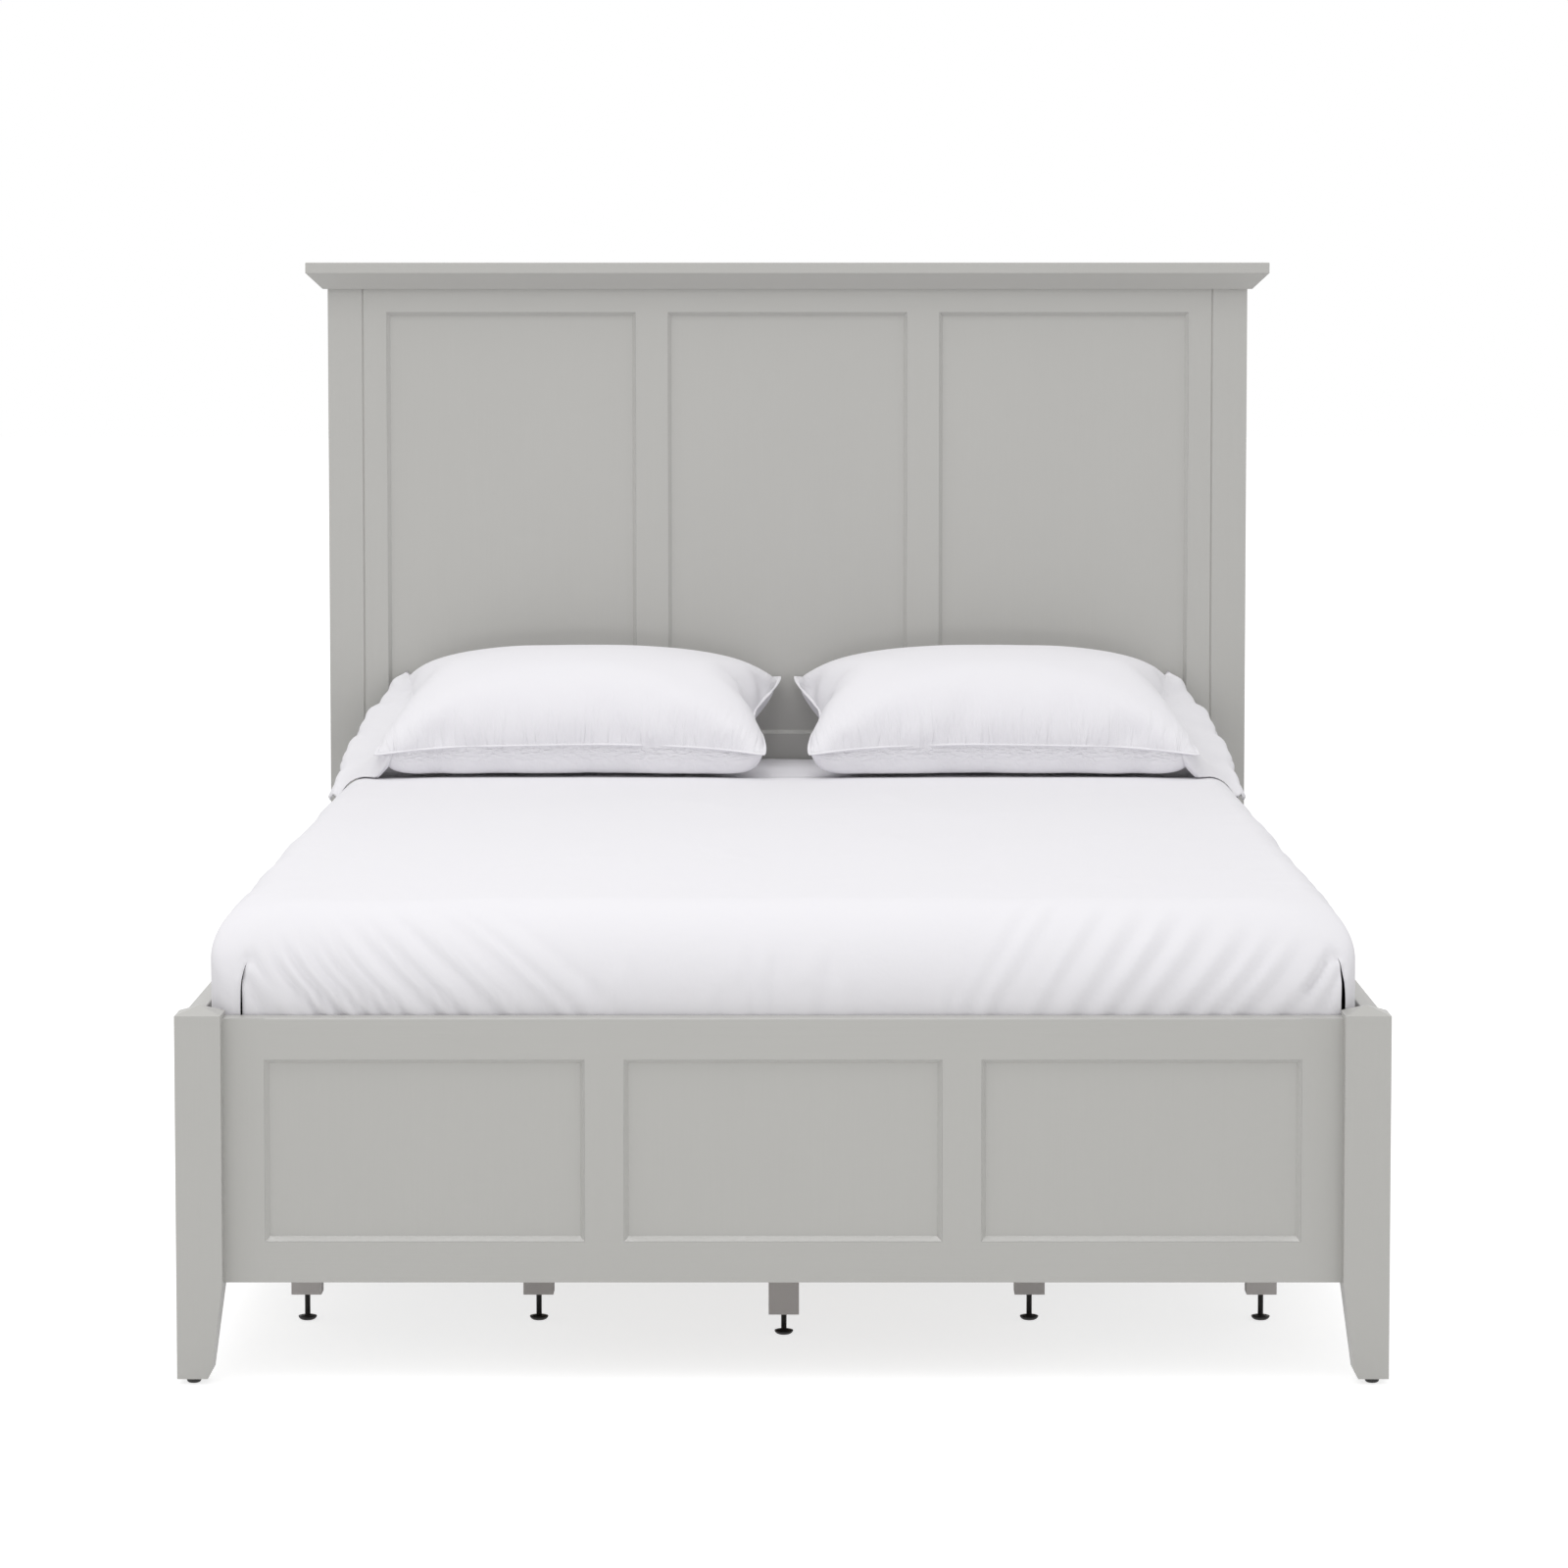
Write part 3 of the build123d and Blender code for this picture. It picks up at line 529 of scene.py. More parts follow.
class Drape:
    """A cloth that lies on the mattress and hangs down at its sides and its foot."""

    def __init__(self, half_x, foot_y, head_y, top, hem, columns, rows, rim_rows, drop_rows):
        flat_x = half_x - side_reach
        flat_foot = foot_y + foot_reach
        self.rim_rows = rim_rows
        xs = np.linspace(-flat_x, flat_x, columns + 1)
        ys = flat_foot + (head_y - flat_foot) * np.linspace(0, 1, rows + 1) ** 1.2
        vertices, turns = [], []
        for y in ys:
            for x in xs:
                into_x = max(0.0, abs(x) - (flat_x - flat_corner))
                into_y = max(0.0, flat_foot + flat_corner - y)
                turns.append(np.arctan2(into_y, into_x))
                if into_x > 0 and into_y > 0:
                    pull = max(into_x, into_y) / np.hypot(into_x, into_y)
                    x = np.sign(x) * (flat_x - flat_corner + into_x * pull)
                    y_round = flat_foot + flat_corner - into_y * pull
                    vertices.append((x, y_round, top))
                else:
                    vertices.append((x, y, top))
        cuts = [vertex[:2] for vertex in vertices]
        width = columns + 1
        faces = [
            (a, a + 1, a + width + 1, a + width)
            for row in range(rows)
            for a in range(row * width, row * width + columns)
        ]
        # The edge of the flat top: down the left side, along the foot, up the right side
        loop = [row * width for row in range(rows, 0, -1)]
        loop += list(range(width))
        loop += [row * width + columns for row in range(1, rows + 1)]
        self.strips = []
        for index in loop:
            start = np.array(vertices[index][:2])
            end, foot_share = self.outer_place(start, turns[index], half_x, foot_y, flat_x, flat_foot)
            fall = side_fall * (1 - foot_share) + foot_fall * foot_share
            outward = (end - start) / np.linalg.norm(end - start)
            strip, length, last = [index], 0.0, np.array((*start, top))
            for row in range(1, rim_rows + drop_rows + 1):
                turn = min(1.0, row / rim_rows) * pi / 2
                level = top - fall * (1 - cos(turn))
                level -= (level - hem) * max(0.0, (row - rim_rows) / drop_rows)
                place = np.array((*(start + (end - start) * sin(turn)), level))
                length += np.linalg.norm(place - last)
                last = place
                strip.append(len(vertices))
                vertices.append(tuple(place))
                cuts.append(tuple(start + outward * length))
            self.strips.append(strip)
        for a, b in zip(self.strips, self.strips[1:]):
            faces += [(a[k], a[k + 1], b[k + 1], b[k]) for k in range(len(a) - 1)]
        self.points = np.array(vertices)
        self.cuts = np.array(cuts)
        self.faces = faces

    @staticmethod
    def outer_place(start, turn, half_x, foot_y, flat_x, flat_foot):
        """Where a strip that starts at the flat top's edge hangs, and how far it belongs to the foot."""
        side = np.sign(start[0])
        spread = 0.25
        if turn < 1e-6:
            shift = flat_foot + flat_corner - foot_y - cloth_corner
            fade = np.exp(-(((start[1] - flat_foot - flat_corner) / spread) ** 2))
            return np.array((side * half_x, start[1] - shift * fade)), 0.0
        if turn > pi / 2 - 1e-6:
            shift = half_x - cloth_corner - flat_x + flat_corner
            fade = np.exp(-(((flat_x - flat_corner - abs(start[0])) / spread) ** 2))
            return np.array((start[0] + side * shift * fade, foot_y)), 1.0
        reach = np.array((side * cos(turn), -sin(turn))) * cloth_corner
        centre = np.array((side * (half_x - cloth_corner), foot_y + cloth_corner))
        return centre + reach, sin(turn) ** 2

    def head_edge(self):
        """The numbers of the points over which the cloth turns down at its head end, left to right."""
        left, right = self.strips[0], self.strips[-1]
        flat = range(left[0], right[0] + 1)
        return np.array([*left[self.rim_rows:0:-1], *flat, *right[1:self.rim_rows + 1]])

    def strip_near(self, x, y):
        """The number of the hanging strip that is nearest a place."""
        places = self.points[[strip[-1] for strip in self.strips]]
        return int(np.argmin(np.hypot(places[:, 0] - x, places[:, 1] - y)))

    def slit(self, number, first_row):
        """Cut the cloth open along a strip, from a row down to the hem. Gives both edges."""
        strip = self.strips[number]
        old = strip[first_row + 1:]
        twins = {v: len(self.points) + k for k, v in enumerate(old)}
        self.points = np.vstack([self.points, self.points[old]])
        self.cuts = np.vstack([self.cuts, self.cuts[old]])
        beyond = set(self.strips[number + 1])
        self.faces = [
            tuple(twins.get(v, v) for v in face) if beyond.intersection(face) else face
            for face in self.faces
        ]
        return old, list(twins.values())


def crease(cuts, start, end, width, height):
    """The height of a soft ridge from start to end on the cut cloth. It fades at both ends."""
    a, b = np.array(start), np.array(end)
    along = b - a
    length = np.linalg.norm(along)
    t = (cuts - a) @ along / length**2
    off = np.linalg.norm(cuts - a - np.outer(np.clip(t, 0, 1), along), axis=1)
    ends = smoothstep(-0.1, 0.38, t) * (1 - smoothstep(0.85, 1.1, t))
    return height * np.exp(-((off / width) ** 2)) * ends


# Coverlet
random = np.random.default_rng(11)
coverlet_shape = Drape(
    coverlet_half_width,
    coverlet_foot_y,
    coverlet_head_y,
    coverlet_top,
    coverlet_hem,
    columns=270,
    rows=100,
    rim_rows=26,
    drop_rows=10,
)
left_strip = coverlet_shape.strip_near(*left_slit_place)
right_strip = coverlet_shape.strip_near(*right_slit_place)
left_slit = coverlet_shape.slit(left_strip, slit_row)
right_slit = coverlet_shape.slit(right_strip, slit_row)
cuts = coverlet_shape.cuts
flat_foot = coverlet_foot_y + foot_reach


def foot_ridge(x, lean, reach, height, width):
    """A drape ridge that ends at x on the hem side of the foot and leans up and out from there."""
    low = (x, flat_foot - foot_drop)
    high = (x + lean, flat_foot - foot_drop + reach)
    ridge = crease(cuts, high, low, width, height)
    valley = crease(cuts, (high[0] + width * 1.5, high[1]), (low[0] + width * 1.5, low[1]), width, height)
    return ridge - valley * 0.9


def foot_folds():
    """Folds that hang down the foot, leaning out, with faint upright ones in its middle."""
    folds = np.zeros(len(cuts))
    for side, count, lean_out, lean_in, broad, tall in foot_fold_rows:
        for k in range(count):
            share = max(0.0, (k + random.uniform(-0.25, 0.25)) / (count - 1))
            x = side * (foot_fold_span[0] - share * foot_fold_span[1])
            lean = side * (lean_out + (lean_in - lean_out) * share)
            reach = 0.11 + 0.11 * share**0.8
            fade = tall * (1 - 0.55 * smoothstep(0.6, 1.0, share))
            width = random.uniform(*foot_fold_width) * broad
            folds += foot_ridge(x, lean, reach, random.uniform(*foot_fold_height) * fade, width)
    for k in range(middle_fold_count):
        x = random.uniform(-0.3, 0.3)
        lean = random.uniform(-0.02, 0.02)
        folds += foot_ridge(x, lean, random.uniform(0.05, 0.12), random.uniform(0.001, 0.0022), 0.01)
    return folds


def side_folds():
    """Soft folds down both long sides."""
    folds = np.zeros(len(cuts))
    for side in (-1, 1):
        for k in range(side_fold_count):
            y = coverlet_foot_y + 0.16 + (k + random.uniform(-0.3, 0.3)) * side_fold_pitch
            out = side * (coverlet_half_width - side_reach)
            high = (out - side * random.uniform(-0.01, 0.08), y + random.uniform(-0.06, 0.06))
            low = (out + side * 0.16, y)
            folds += crease(cuts, high, low, random.uniform(0.014, 0.026), random.uniform(0.001, 0.003))
    return folds


def top_creases():
    """Long shallow creases over the top, most of them across the bed."""
    creases = np.zeros(len(cuts))
    for k in range(top_crease_count):
        x, y = random.uniform(-0.6, 0.6), random.uniform(-0.85, 0.4)
        turn = random.uniform(-0.9, 0.9) + (pi / 2 if k % 3 else 0)
        reach = random.uniform(0.08, 0.3)
        end = (x + reach * sin(turn), y + reach * cos(turn))
        creases += crease(cuts, (x, y), end, random.uniform(0.012, 0.03), random.uniform(0.0008, 0.002))
    return creases


def slit_creases():
    """Hollows where the cloth is pulled round the top of each slit."""
    creases = np.zeros(len(cuts))
    for edges, side in ((left_slit, -1), (right_slit, 1)):
        top = cuts[edges[0][0]]
        creases += crease(cuts, top + (side * 0.004, 0.004), top + (side * 0.02, -0.05), 0.006, -0.004)
        creases += crease(cuts, top + (-side * 0.014, 0.02), top + (-side * 0.02, -0.03), 0.006, -0.006)
        creases += crease(cuts, top + (-side * 0.011, 0.01), top, 0.005, -0.006)
    return creases


relief = foot_folds() + side_folds() + top_creases() + slit_creases()
relief += noise_field(coverlet_shape.points, 3.2, 1) * 0.003
relief += noise_field(coverlet_shape.points, 9.0, 2) * 0.0012
relief *= 1 - smoothstep(0.4, 0.58, cuts[:, 1]) * 0.7
normals = vertex_normals(coverlet_shape.points, coverlet_shape.faces)
points = coverlet_shape.points + normals * relief[:, None]


def spread_slit(number, edges, gap, lift, tuck):
    """Move the edges of a slit and the cloth beside them apart, and each edge in or out."""
    for sign, edge, out in ((-1, edges[0], lift), (1, edges[1], tuck)):
        for row, index in enumerate(edge):
            sideways = np.array((-normals[index][1], normals[index][0], 0)) * sign
            shift = gap * min(1.0, (row + 1) / 8)
            points[index] += sideways * shift + normals[index] * (out * min(1.0, (row + 1) / 4))
            for k in range(1, slit_ease):
                beside = coverlet_shape.strips[number + sign * k][slit_row + 1 + row]
                points[beside] += sideways * (shift * (1 - k / slit_ease) ** 2)


spread_slit(left_strip, left_slit, 0.0014, 0.0035, -0.0012)
spread_slit(right_strip, right_slit, 0.0038, 0.0005, 0.0015)
behind_footboard = coverlet_foot_y - 0.0025
points[:, 1] = np.maximum(points[:, 1], behind_footboard)
coverlet = new_piece("coverlet", points, coverlet_shape.faces, sheet_cotton, cuts)
thicken(coverlet, cloth_thickness)

# Under sheet
under_shape = Drape(
    coverlet_half_width - under_sheet_inset,
    coverlet_foot_y + under_sheet_inset,
    sheet_high.y - under_sheet_head_gap,
    coverlet_top - under_sheet_drop,
    under_hem,
    columns=110,
    rows=110,
    rim_rows=10,
    drop_rows=6,
)
under_points = under_shape.points
near_foot = under_points[:, 1] < coverlet_foot_y + bare_reach
hanging = under_points[:, 2] < coverlet_top - bare_drop
bare = set(np.nonzero(near_foot & hanging)[0])
head_part = smoothstep(coverlet_head_y - 0.03, coverlet_head_y + 0.05, under_points[:, 1])
puckers = noise_field(under_points * (1.6, 0.6, 1), 14.0, 5) * 0.003 + 0.001
under_normals = vertex_normals(under_points, under_shape.faces)
kept_faces = [face for face in under_shape.faces if not bare.intersection(face)]
under_points = under_points + under_normals * (puckers * head_part)[:, None]
under_cuts = under_shape.cuts
head_edge = under_shape.head_edge()
for step in range(1, head_drop_rows + 1):
    lower = under_points[head_edge].copy()
    drop = (lower[:, 2] - under_hem) * step / head_drop_rows
    lower[:, 1] += 0.0004
    lower[:, 2] -= drop
    below = np.arange(len(under_points), len(under_points) + len(lower))
    above = head_edge if step == 1 else below - len(lower)
    kept_faces += list(zip(below[:-1], above[:-1], above[1:], below[1:]))
    under_points = np.vstack([under_points, lower])
    under_cuts = np.vstack([under_cuts, under_cuts[head_edge] + np.column_stack([drop * 0, drop])])
under_sheet = new_piece("under_sheet", under_points, kept_faces, sheet_cotton, under_cuts)
loose = bmesh.new()
loose.from_mesh(under_sheet.data)
bmesh.ops.delete(loose, geom=[v for v in loose.verts if not v.link_faces], context="VERTS")
loose.to_mesh(under_sheet.data)
loose.free()
thicken(under_sheet, 0.001)


# Mattress
def rounded_ring(half_x, half_y, radius, z, corner_points=9):
    """The points round a rounded rectangle about the mattress's middle, anticlockwise from above."""
    ring = []
    for quarter, (sx, sy) in enumerate(((1, 1), (-1, 1), (-1, -1), (1, -1))):
        for k in range(corner_points):
            turn = pi / 2 * (quarter + k / (corner_points - 1))
            x = sx * (half_x - radius) + radius * cos(turn)
            y = sy * (half_y - radius) + radius * sin(turn)
            ring.append((x, mattress_middle.y + y, z))
    return ring


mattress_middle = (mattress_low + mattress_high) / 2
half_x = mattress_high.x + mattress_grow
half_y = (mattress_high.y - mattress_low.y) / 2 - 0.002


def edge_rings(edge, z, upward):
    """Rings that round an edge of the mattress, from its side to its flat face."""
    for k in range(11):
        turn = pi / 2 * k / 10
        inset = edge * (1 - cos(turn))
        radius = max(mattress_corner - inset * 0.6, 0.015)
        yield rounded_ring(half_x - inset, half_y - inset, radius, z + upward * edge * sin(turn))


underside = mattress_low.z + mattress_underside_edge
lower = list(edge_rings(mattress_underside_edge, underside, -1))[::-1]
upper = list(edge_rings(mattress_rim, mattress_high.z - mattress_rim, 1))
rings = lower + upper
count = len(rings[0])
mattress_faces = ring_faces(len(rings), count)
mattress_faces.append(tuple(reversed(range(count))))
mattress_faces.append(tuple(range((len(rings) - 1) * count, len(rings) * count)))
mattress_pad = new_piece(
    "mattress_pad", [p for ring in rings for p in ring], mattress_faces, striped_ticking
)


def piping(name, inset, z):
    """A cord sewn round the mattress."""
    path = np.array(rounded_ring(half_x - inset, half_y - inset, mattress_corner, z, 13))
    vertices, cuts = [], []
    total, sides = len(path), 8
    for number, place in enumerate(path):
        heading = path[(number + 1) % total] - path[number - 1]
        heading /= np.linalg.norm(heading)
        out = np.array((heading[1], -heading[0], 0))
        for k in range(sides):
            turn = 2 * pi * k / sides
            rise = np.array((0, 0, piping_radius * sin(turn)))
            vertices.append(place + out * (piping_radius * cos(turn)) + rise)
            cuts.append((number * 0.02, k * 0.001))
    faces = [face[::-1] for face in ring_faces(total, sides, joined=True)]
    return new_piece(name, vertices, faces, thread_cotton, cuts)


pipings = [
    piping("mattress_piping_low", 0.0003, mattress_low.z + 0.026),
    piping("mattress_piping_high", 0.0185, mattress_high.z - 0.05),
]


# Repeated small parts, grown by Geometry Nodes
class Growth(Nodes):
    """A Geometry Nodes tree that puts a small part on every point of a mesh."""

    def __init__(self, name, numbers):
        tree = bpy.data.node_groups.new(name, "GeometryNodeTree")
        tree.interface.new_socket("Geometry", in_out="INPUT", socket_type="NodeSocketGeometry")
        for label in numbers:
            tree.interface.new_socket(label, in_out="INPUT", socket_type="NodeSocketFloat")
        tree.interface.new_socket("Geometry", in_out="OUTPUT", socket_type="NodeSocketGeometry")
        super().__init__(tree)
        self.source = tree.nodes.new("NodeGroupInput")

    def given(self, name):
        return Wire(self, self.socket(self.source.outputs, name))

    def placed(self, part, rotation, material):
        """The part on every point, made real, with its material."""
        sockets = {"Points": self.given("Geometry"), "Instance": part, "Rotation": rotation}
        parts = self.node("GeometryNodeInstanceOnPoints", inputs=sockets)
        real = self.node("GeometryNodeRealizeInstances", inputs={"Geometry": parts})
        done = self.node("GeometryNodeSetMaterial", inputs={"Geometry": real, "Material": material})
        self.node("NodeGroupOutput", inputs={"Geometry": done})
        return self.tree


def thread_ring(material):
    """One turn of a screw thread round every point."""
    growth = Growth("thread_ring", ("root radius", "ridge"))
    path = growth.node(
        "GeometryNodeCurvePrimitiveCircle",
        {"mode": "RADIUS"},
        {"Resolution": 16, "Radius": growth.given("root radius")},
    )
    ridge = growth.node(
        "GeometryNodeCurvePrimitiveCircle",
        {"mode": "RADIUS"},
        {"Resolution": 4, "Radius": growth.given("ridge")},
    )
    ring = growth.node("GeometryNodeCurveToMesh", inputs={"Curve": path, "Profile Curve": ridge})
    return growth.placed(ring, (radians(3), 0, 0), material)


def screw_head(material):
    """A countersunk head with the line of its slot on every point, turned by chance."""
    growth = Growth("screw_head", ("head radius", "head height"))
    head = growth.node(
        "GeometryNodeMeshCone",
        {"fill_type": "NGON"},
        {
            "Vertices": 12,
            "Radius Top": growth.given("head radius"),
            "Radius Bottom": growth.given("head radius") * 0.55,
            "Depth": growth.given("head height"),
        },
    )
    slot = growth.node(
        "GeometryNodeMeshCube",
        inputs={"Size": (0.0055, 0.0011, 0.0016)},
    )
    raised = growth.node("GeometryNodeTransform", inputs={"Geometry": slot, "Translation": (0, 0, 0.0007)})
    both = growth.tree.nodes.new("GeometryNodeJoinGeometry")
    growth.tree.links.new(raised.socket, both.inputs[0])
    growth.tree.links.new(head.socket, both.inputs[0])
    chance = growth.node(
        "FunctionNodeRandomValue",
        {"data_type": "FLOAT_VECTOR"},
        {"Min": (0, 0, 0), "Max": (0, 0, pi), "Seed": 7},
    )
    return growth.placed(Wire(growth, both.outputs[0]), chance, material)


def grown(name, tree, places, values, material):
    """A plain mesh of what a tree grows on these places."""
    seed_mesh = bpy.data.meshes.new(f"{name}_places")
    seed_mesh.from_pydata([tuple(place) for place in places], [], [])
    seeds = bpy.data.objects.new(f"{name}_places", seed_mesh)
    bpy.context.scene.collection.objects.link(seeds)
    grower = seeds.modifiers.new("growth", "NODES")
    grower.node_group = tree
    for item in tree.interface.items_tree:
        if item.in_out == "INPUT" and item.name in values:
            grower[item.identifier] = values[item.name]
    evaluated = seeds.evaluated_get(bpy.context.evaluated_depsgraph_get())
    mesh = bpy.data.meshes.new_from_object(evaluated)
    bpy.data.objects.remove(seeds)
    mesh.materials.clear()
    return linked(name, mesh, material)


ring_tree = thread_ring(black_steel)
for leg in legs:
    low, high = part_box(leg)
    middle = (low + high) / 2
    turns = int((leg_underside(leg) - low.z - thread_clear) / thread_pitch)
    places = [(middle.x, middle.y, low.z + thread_clear + (k + 0.5) * thread_pitch) for k in range(turns)]
    values = {"root radius": thread_root, "ridge": thread_ridge}
    thread = grown(f"{leg}_thread", ring_tree, places, values, black_steel)
    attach(thread, leg)

slat_pitch = (slats_high.y - slats_low.y - slat_width) / (slat_count - 1)
screw_places = [
    (
        side * (slats_high.x - inset),
        slats_low.y + slat_width / 2 + k * slat_pitch + across,
        slats_high.z - screw_sink,
    )
    for k in range(slat_count)
    for side in (-1, 1)
    for inset in (screw_inset, slats_high.x - screw_apart)
    for across in (-screw_apart, screw_apart)
]
screws = grown(
    "slat_screws",
    screw_head(zinc_steel),
    screw_places,
    {"head radius": screw_radius, "head height": screw_height},
    zinc_steel,
)
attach(screws, "frame")


# Pillows
def pillow_grid():
    """Two layers of cloth, sewn together round their edges, with a little air between them."""
    across, deep = pillow_cells
    top, bottom = {}, {}
    vertices, cuts = [], []
    for i in range(across + 1):
        for j in range(deep + 1):
            u, v = 2 * i / across - 1, 2 * j / deep - 1
            x = u * (pillow_flat_width / 2 - pillow_taper * v**4)
            y = v * (pillow_flat_depth / 2 - pillow_taper * 0.7 * u**4)
            puff = 0.02 * (1 - u**4) * (1 - v**4)
            top[i, j] = len(vertices)
            vertices.append((x, y, puff))
            cuts.append((x, y))
            bottom[i, j] = top[i, j]
            if abs(u) < 1 and abs(v) < 1:
                bottom[i, j] = len(vertices)
                vertices.append((x, y, -puff))
                cuts.append((x, y + pillow_flat_depth))
    faces = []
    for i in range(across):
        for j in range(deep):
            faces.append((top[i, j], top[i + 1, j], top[i + 1, j + 1], top[i, j + 1]))
            faces.append((bottom[i, j], bottom[i, j + 1], bottom[i + 1, j + 1], bottom[i + 1, j]))
    return vertices, faces, cuts, top, bottom


def filled(vertices, faces):
    """The places of a bag's vertices once air pressure has filled it."""
    bag = new_piece("filling", vertices, faces, pillow_cotton)
    cloth = bag.modifiers.new("filling", "CLOTH")
    cloth.settings.quality = 5
    cloth.settings.mass = 0.15
    cloth.settings.tension_stiffness = 30
    cloth.settings.compression_stiffness = 20
    cloth.settings.shear_stiffness = 8
    cloth.settings.bending_stiffness = 0.15
    cloth.settings.tension_damping = 15
    cloth.settings.compression_damping = 15
    cloth.settings.air_damping = 3
    cloth.settings.use_pressure = True
    cloth.settings.uniform_pressure_force = fill_pressure
    cloth.settings.effector_weights.gravity = 0
    cloth.collision_settings.use_collision = False
    cloth.collision_settings.use_self_collision = False
    cloth.point_cache.frame_start = 1
    cloth.point_cache.frame_end = fill_frames
    for number in range(1, fill_frames + 1):
        bpy.context.scene.frame_set(number)
    result = bag.evaluated_get(bpy.context.evaluated_depsgraph_get())
    places = np.array([v.co for v in result.data.vertices])
    bpy.data.objects.remove(bag)
    bpy.context.scene.frame_set(1)
    return places


def smoothed(shape):
    """The filled pillow with its seam drawn straight and its coarse creases eased."""
    across, deep = pillow_cells
    places = [(i, j) for i in range(across + 1) for j in range(deep + 1)]
    top, bottom = (
        shape[[layer[place] for place in places]].reshape(across + 1, deep + 1, 3)
        for layer in (pillow_top, pillow_bottom)
    )
    for number in range(ease_rounds * 6):
        for edge in (top[0], top[-1], top[:, 0], top[:, -1]):
            edge[1:-1] = edge[1:-1] * 0.4 + (edge[:-2] + edge[2:]) * 0.3
    for layer in (top, bottom):
        layer[0], layer[-1], layer[:, 0], layer[:, -1] = top[0], top[-1], top[:, 0], top[:, -1]
        for number in range(ease_rounds):
            around = layer[:-2, 1:-1] + layer[2:, 1:-1] + layer[1:-1, :-2] + layer[1:-1, 2:]
            layer[1:-1, 1:-1] = layer[1:-1, 1:-1] * 0.4 + around * 0.15
    eased = shape.copy()
    for (i, j), index in pillow_bottom.items():
        eased[index] = bottom[i, j]
    for (i, j), index in pillow_top.items():
        eased[index] = top[i, j]
    return eased


pillow_vertices, pillow_faces, pillow_cuts, pillow_top, pillow_bottom = pillow_grid()
shape = filled(pillow_vertices, pillow_faces)
shape = smoothed(shape)
spread = shape.max(0) - shape.min(0)
shape -= (shape.max(0) + shape.min(0)) / 2
shape *= np.array((pillow_width, pillow_depth, pillow_loft)) / spread
tilt = np.array(
    ((1, 0, 0), (0, cos(pillow_tilt), -sin(pillow_tilt)), (0, sin(pillow_tilt), cos(pillow_tilt)))
)
shape = shape @ tilt.T
shape[:, 1] += head_y - 0.006 - shape[:, 1].max()
shape[:, 2] += pillow_seam_middle - (shape[pillow_top[0, 0], 2] + shape[pillow_top[pillow_cells], 2]) / 2
shape[:, 0] += pillow_centre - pillow_skew * (shape[:, 1] - shape[:, 1].min())
sewn = shape.copy()
for (i, j), index in pillow_bottom.items():
    u, q = 2 * i / pillow_cells[0] - 1, j / pillow_cells[1] / belly_place
    shape[index, 2] -= belly_drop * (1 - u**6) * q * np.exp(1 - q)
rest_z = coverlet_top + 0.001
sunk = np.maximum(rest_z + soft_zone - shape[:, 2], 0)
shape[:, 2] = np.where(sunk > 0, rest_z + soft_zone * np.exp(-sunk / soft_zone), shape[:, 2])


def seam_lip(shape, sewn):
    """The sewn lip that stands out all round the pillow."""
    across, deep = pillow_cells
    edge = [(i, 0) for i in range(across)] + [(across, j) for j in range(deep)]
    edge += [(i, deep) for i in range(across, 0, -1)] + [(0, j) for j in range(deep, 0, -1)]
    half = ((-0.004, 0.0022), (0.001, 0.0015), (0.0032, 0.0009))
    profile = (*half, (0.0037, 0), *((out, -up) for out, up in reversed(half)))
    vertices, cuts = [], []
    for number, (i, j) in enumerate(edge):
        near = (min(max(i, 1), across - 1), min(max(j, 1), deep - 1))
        above, below = sewn[pillow_top[near]], sewn[pillow_bottom[near]]
        corner = shape[pillow_top[i, j]]
        out = sewn[pillow_top[i, j]] - (above + below) / 2
        out /= np.linalg.norm(out)
        up = above - below
        up -= out * (up @ out)
        up /= np.linalg.norm(up)
        vertices += [corner + out * a + up * b for a, b in profile]
        cuts += [(number * 0.008, k * 0.002) for k in range(len(profile))]
    return vertices, ring_faces(len(edge), len(profile), joined=True), cuts


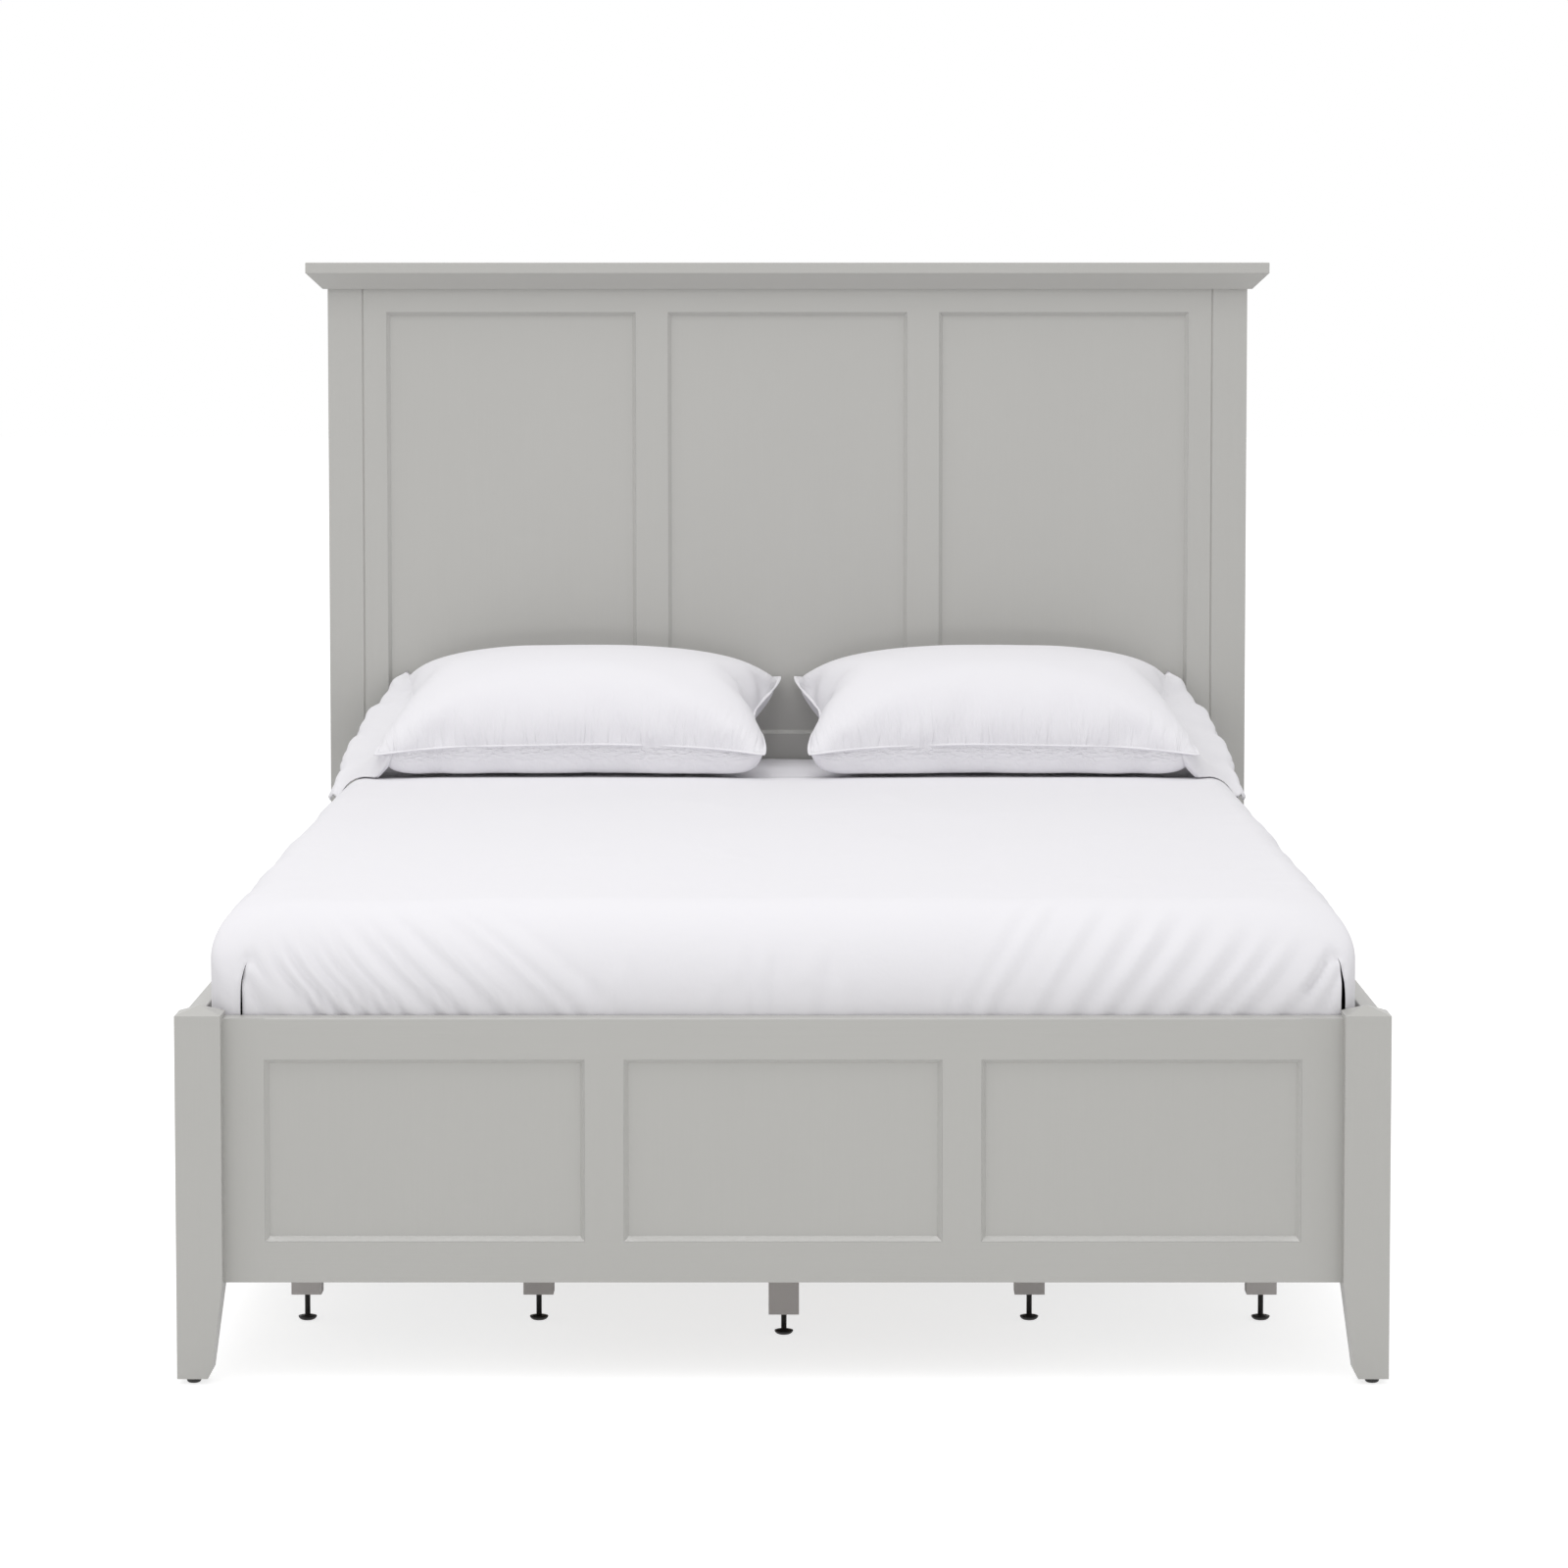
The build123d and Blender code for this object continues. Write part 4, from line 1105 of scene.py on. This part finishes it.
def case_end(shape):
    """The open end of the pillowcase, from the pillow's outer end down over the bed's edge."""
    across, deep = pillow_cells
    column = across - 4
    ring = [pillow_top[column, j] for j in range(deep + 1)]
    ring += [pillow_bottom[column, j] for j in range(deep - 1, 0, -1)]
    inner = [pillow_top[column - 2, j] for j in range(deep + 1)]
    inner += [pillow_bottom[column - 2, j] for j in range(deep - 1, 0, -1)]
    heading = shape[ring] - shape[inner]
    heading /= np.linalg.norm(heading, axis=1)[:, None]
    outward = shape[ring] - shape[ring].mean(0)
    outward[:, 0] = 0
    outward /= np.linalg.norm(outward, axis=1)[:, None]
    start = shape[ring] + outward * 0.0012
    count = len(ring)
    vertices, cuts = [], []
    for k in range(case_rows + 1):
        w = k / case_rows
        for index in range(count):
            upper = index <= deep
            t = index / deep if upper else (count - index) / deep
            mouth = case_mouth[0] * (1 - t) ** 2 + case_mouth[1] * (2 * t * (1 - t)) + case_mouth[2] * t**2
            gape = 4 * t * (1 - t)
            ripple = sin(t * 23 + (0 if upper else 1.3)) * 0.0028 + sin(t * 51) * 0.0016
            mouth = mouth + np.array((ripple, 0, ripple * 0.6 + gape * (0.012 if upper else -0.002)))
            curve_in = heading[index] * 0.1
            curve_out = np.array((0.3, 0, -0.95)) * 0.07
            place = start[index] * (2 * w**3 - 3 * w**2 + 1) + curve_in * (w**3 - 2 * w**2 + w)
            place = place + mouth * (3 * w**2 - 2 * w**3) + curve_out * (w**3 - w**2)
            place[2] -= case_sag * (1 - t) ** 3 * sin(pi * min(1.0, w * 1.15)) * (1 if index else 1.15)
            over = min(1.0, max(0.0, (place[0] - coverlet_half_width + side_reach) / side_reach))
            if place[0] < coverlet_half_width:
                bed = coverlet_top - side_fall * (1 - (1 - over**2) ** 0.5)
                place[2] = max(place[2], bed + (0.0035 if upper else 0.002))
            vertices.append(place)
            cuts.append((w * case_flat[0], index / count * case_flat[1]))
    faces = [face[::-1] for face in ring_faces(case_rows + 1, count)]
    return np.array(vertices), faces, cuts


cut_depth = np.array([abs(cut[1]) for cut in pillow_cuts])
from_seam = np.abs(pillow_flat_depth / 2 - cut_depth)
pillow_near_seam = np.exp(-((from_seam / gather_reach) ** 2)).astype(np.float32)
pillow_near_seam[cut_depth > pillow_flat_depth / 2] *= 0.3
lip_vertices, lip_faces, lip_cuts = seam_lip(shape, sewn)
end_vertices, end_faces, end_cuts = case_end(shape)
for side_name, side in {"right": 1, "left": -1}.items():
    body = f"pillow_{side_name}"
    mirror = np.array((side, 1, 1))
    turned = (lambda faces: faces) if side > 0 else (lambda faces: [face[::-1] for face in faces])
    cushion = new_piece(
        f"{body}_cushion", shape * mirror, turned(pillow_faces), pillow_cotton, pillow_cuts
    )
    near_seam = cushion.data.attributes.new("near_seam", "FLOAT", "POINT")
    near_seam.data.foreach_set("value", pillow_near_seam)
    smooth = cushion.modifiers.new("smooth", "SUBSURF")
    smooth.levels = smooth.render_levels = 1
    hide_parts(body)
    lip = new_piece(
        f"{body}_seam", np.array(lip_vertices) * mirror, turned(lip_faces), pillow_cotton, lip_cuts
    )
    end = new_piece(
        f"{body}_case_end", end_vertices * mirror, turned(end_faces), pillow_cotton, end_cuts
    )
    thicken(end, 0.001)
    for piece in (cushion, lip, end):
        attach(piece, body)

for piece, slot in (
    (coverlet, "white_sheet_cotton"),
    (under_sheet, "white_sheet_cotton"),
    (mattress_pad, "mattress_ticking"),
    *((cord, "mattress_ticking") for cord in pipings),
):
    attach(piece, "bedding")
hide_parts("bed_sheet")
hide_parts("mattress")


# Floor, light and camera
def white_where_seen(nodes, seen, unseen):
    """A shader that differs for the rays that show the background."""
    path = "ShaderNodeLightPath"
    rays = nodes.node(path, output="Is Camera Ray") + nodes.node(path, output="Is Glossy Ray")
    rays = rays + nodes.node(path, output="Is Transmission Ray")
    return nodes.node("ShaderNodeMixShader", inputs={0: rays, 1: unseen, 2: seen})


studio = Finish("studio_floor")
shadowed = studio.node(
    "ShaderNodeAddShader",
    inputs={
        0: studio.node("ShaderNodeBsdfDiffuse", inputs={"Color": rgb(0.5, 0.5, 0.5)}),
        1: studio.node("ShaderNodeEmission", inputs={"Color": rgb(1, 1, 1), "Strength": floor_glow}),
    },
)
plain = studio.node("ShaderNodeBsdfDiffuse", inputs={"Color": rgb(0.88, 0.88, 0.88)})
studio.node(
    "ShaderNodeOutputMaterial", inputs={"Surface": white_where_seen(studio, shadowed, plain)}
)
floor = new_piece(
    "studio_floor",
    [(x * floor_reach, y * floor_reach, 0) for x, y in ((-1, -1), (1, -1), (1, 1), (-1, 1))],
    [(0, 1, 2, 3)],
    studio.material,
)

world = bpy.data.worlds.new("studio")
bpy.context.scene.world = world
world.use_nodes = True
sky = Nodes(world.node_tree)
white = sky.node("ShaderNodeBackground", inputs={"Color": rgb(1, 1, 1), "Strength": 1.0})
soft = sky.node("ShaderNodeBackground", inputs={"Color": rgb(1, 1, 1), "Strength": sky_strength})
sky.node("ShaderNodeOutputWorld", inputs={"Surface": white_where_seen(sky, white, soft)})


def softbox(name, place, target, size, power):
    """A large soft lamp aimed at a point."""
    lamp = bpy.data.lights.new(name, "AREA")
    lamp.shape = "RECTANGLE"
    lamp.size, lamp.size_y = size
    lamp.energy = power
    lamp_object = bpy.data.objects.new(name, lamp)
    lamp_object.location = place
    lamp_object.visible_camera = False
    lamp_object.rotation_euler = (Vector(target) - Vector(place)).to_track_quat("-Z", "Y").to_euler()
    bpy.context.scene.collection.objects.link(lamp_object)


softbox("overhead_softbox", **overhead_lamp)
softbox("low_softbox", **low_lamp)

camera_data = bpy.data.cameras.new("photograph_camera")
camera_data.sensor_width = 36
camera_data.lens = lens_mm
camera_data.shift_x = film_shift_x
camera_data.shift_y = film_shift_y
camera_data.clip_end = 100
camera = bpy.data.objects.new("photograph_camera", camera_data)
camera.location = eye
camera.rotation_euler = (pi / 2 - downward_look, 0, 0)
bpy.context.scene.collection.objects.link(camera)
bpy.context.scene.camera = camera
bpy.context.scene.view_settings.view_transform = "Standard"
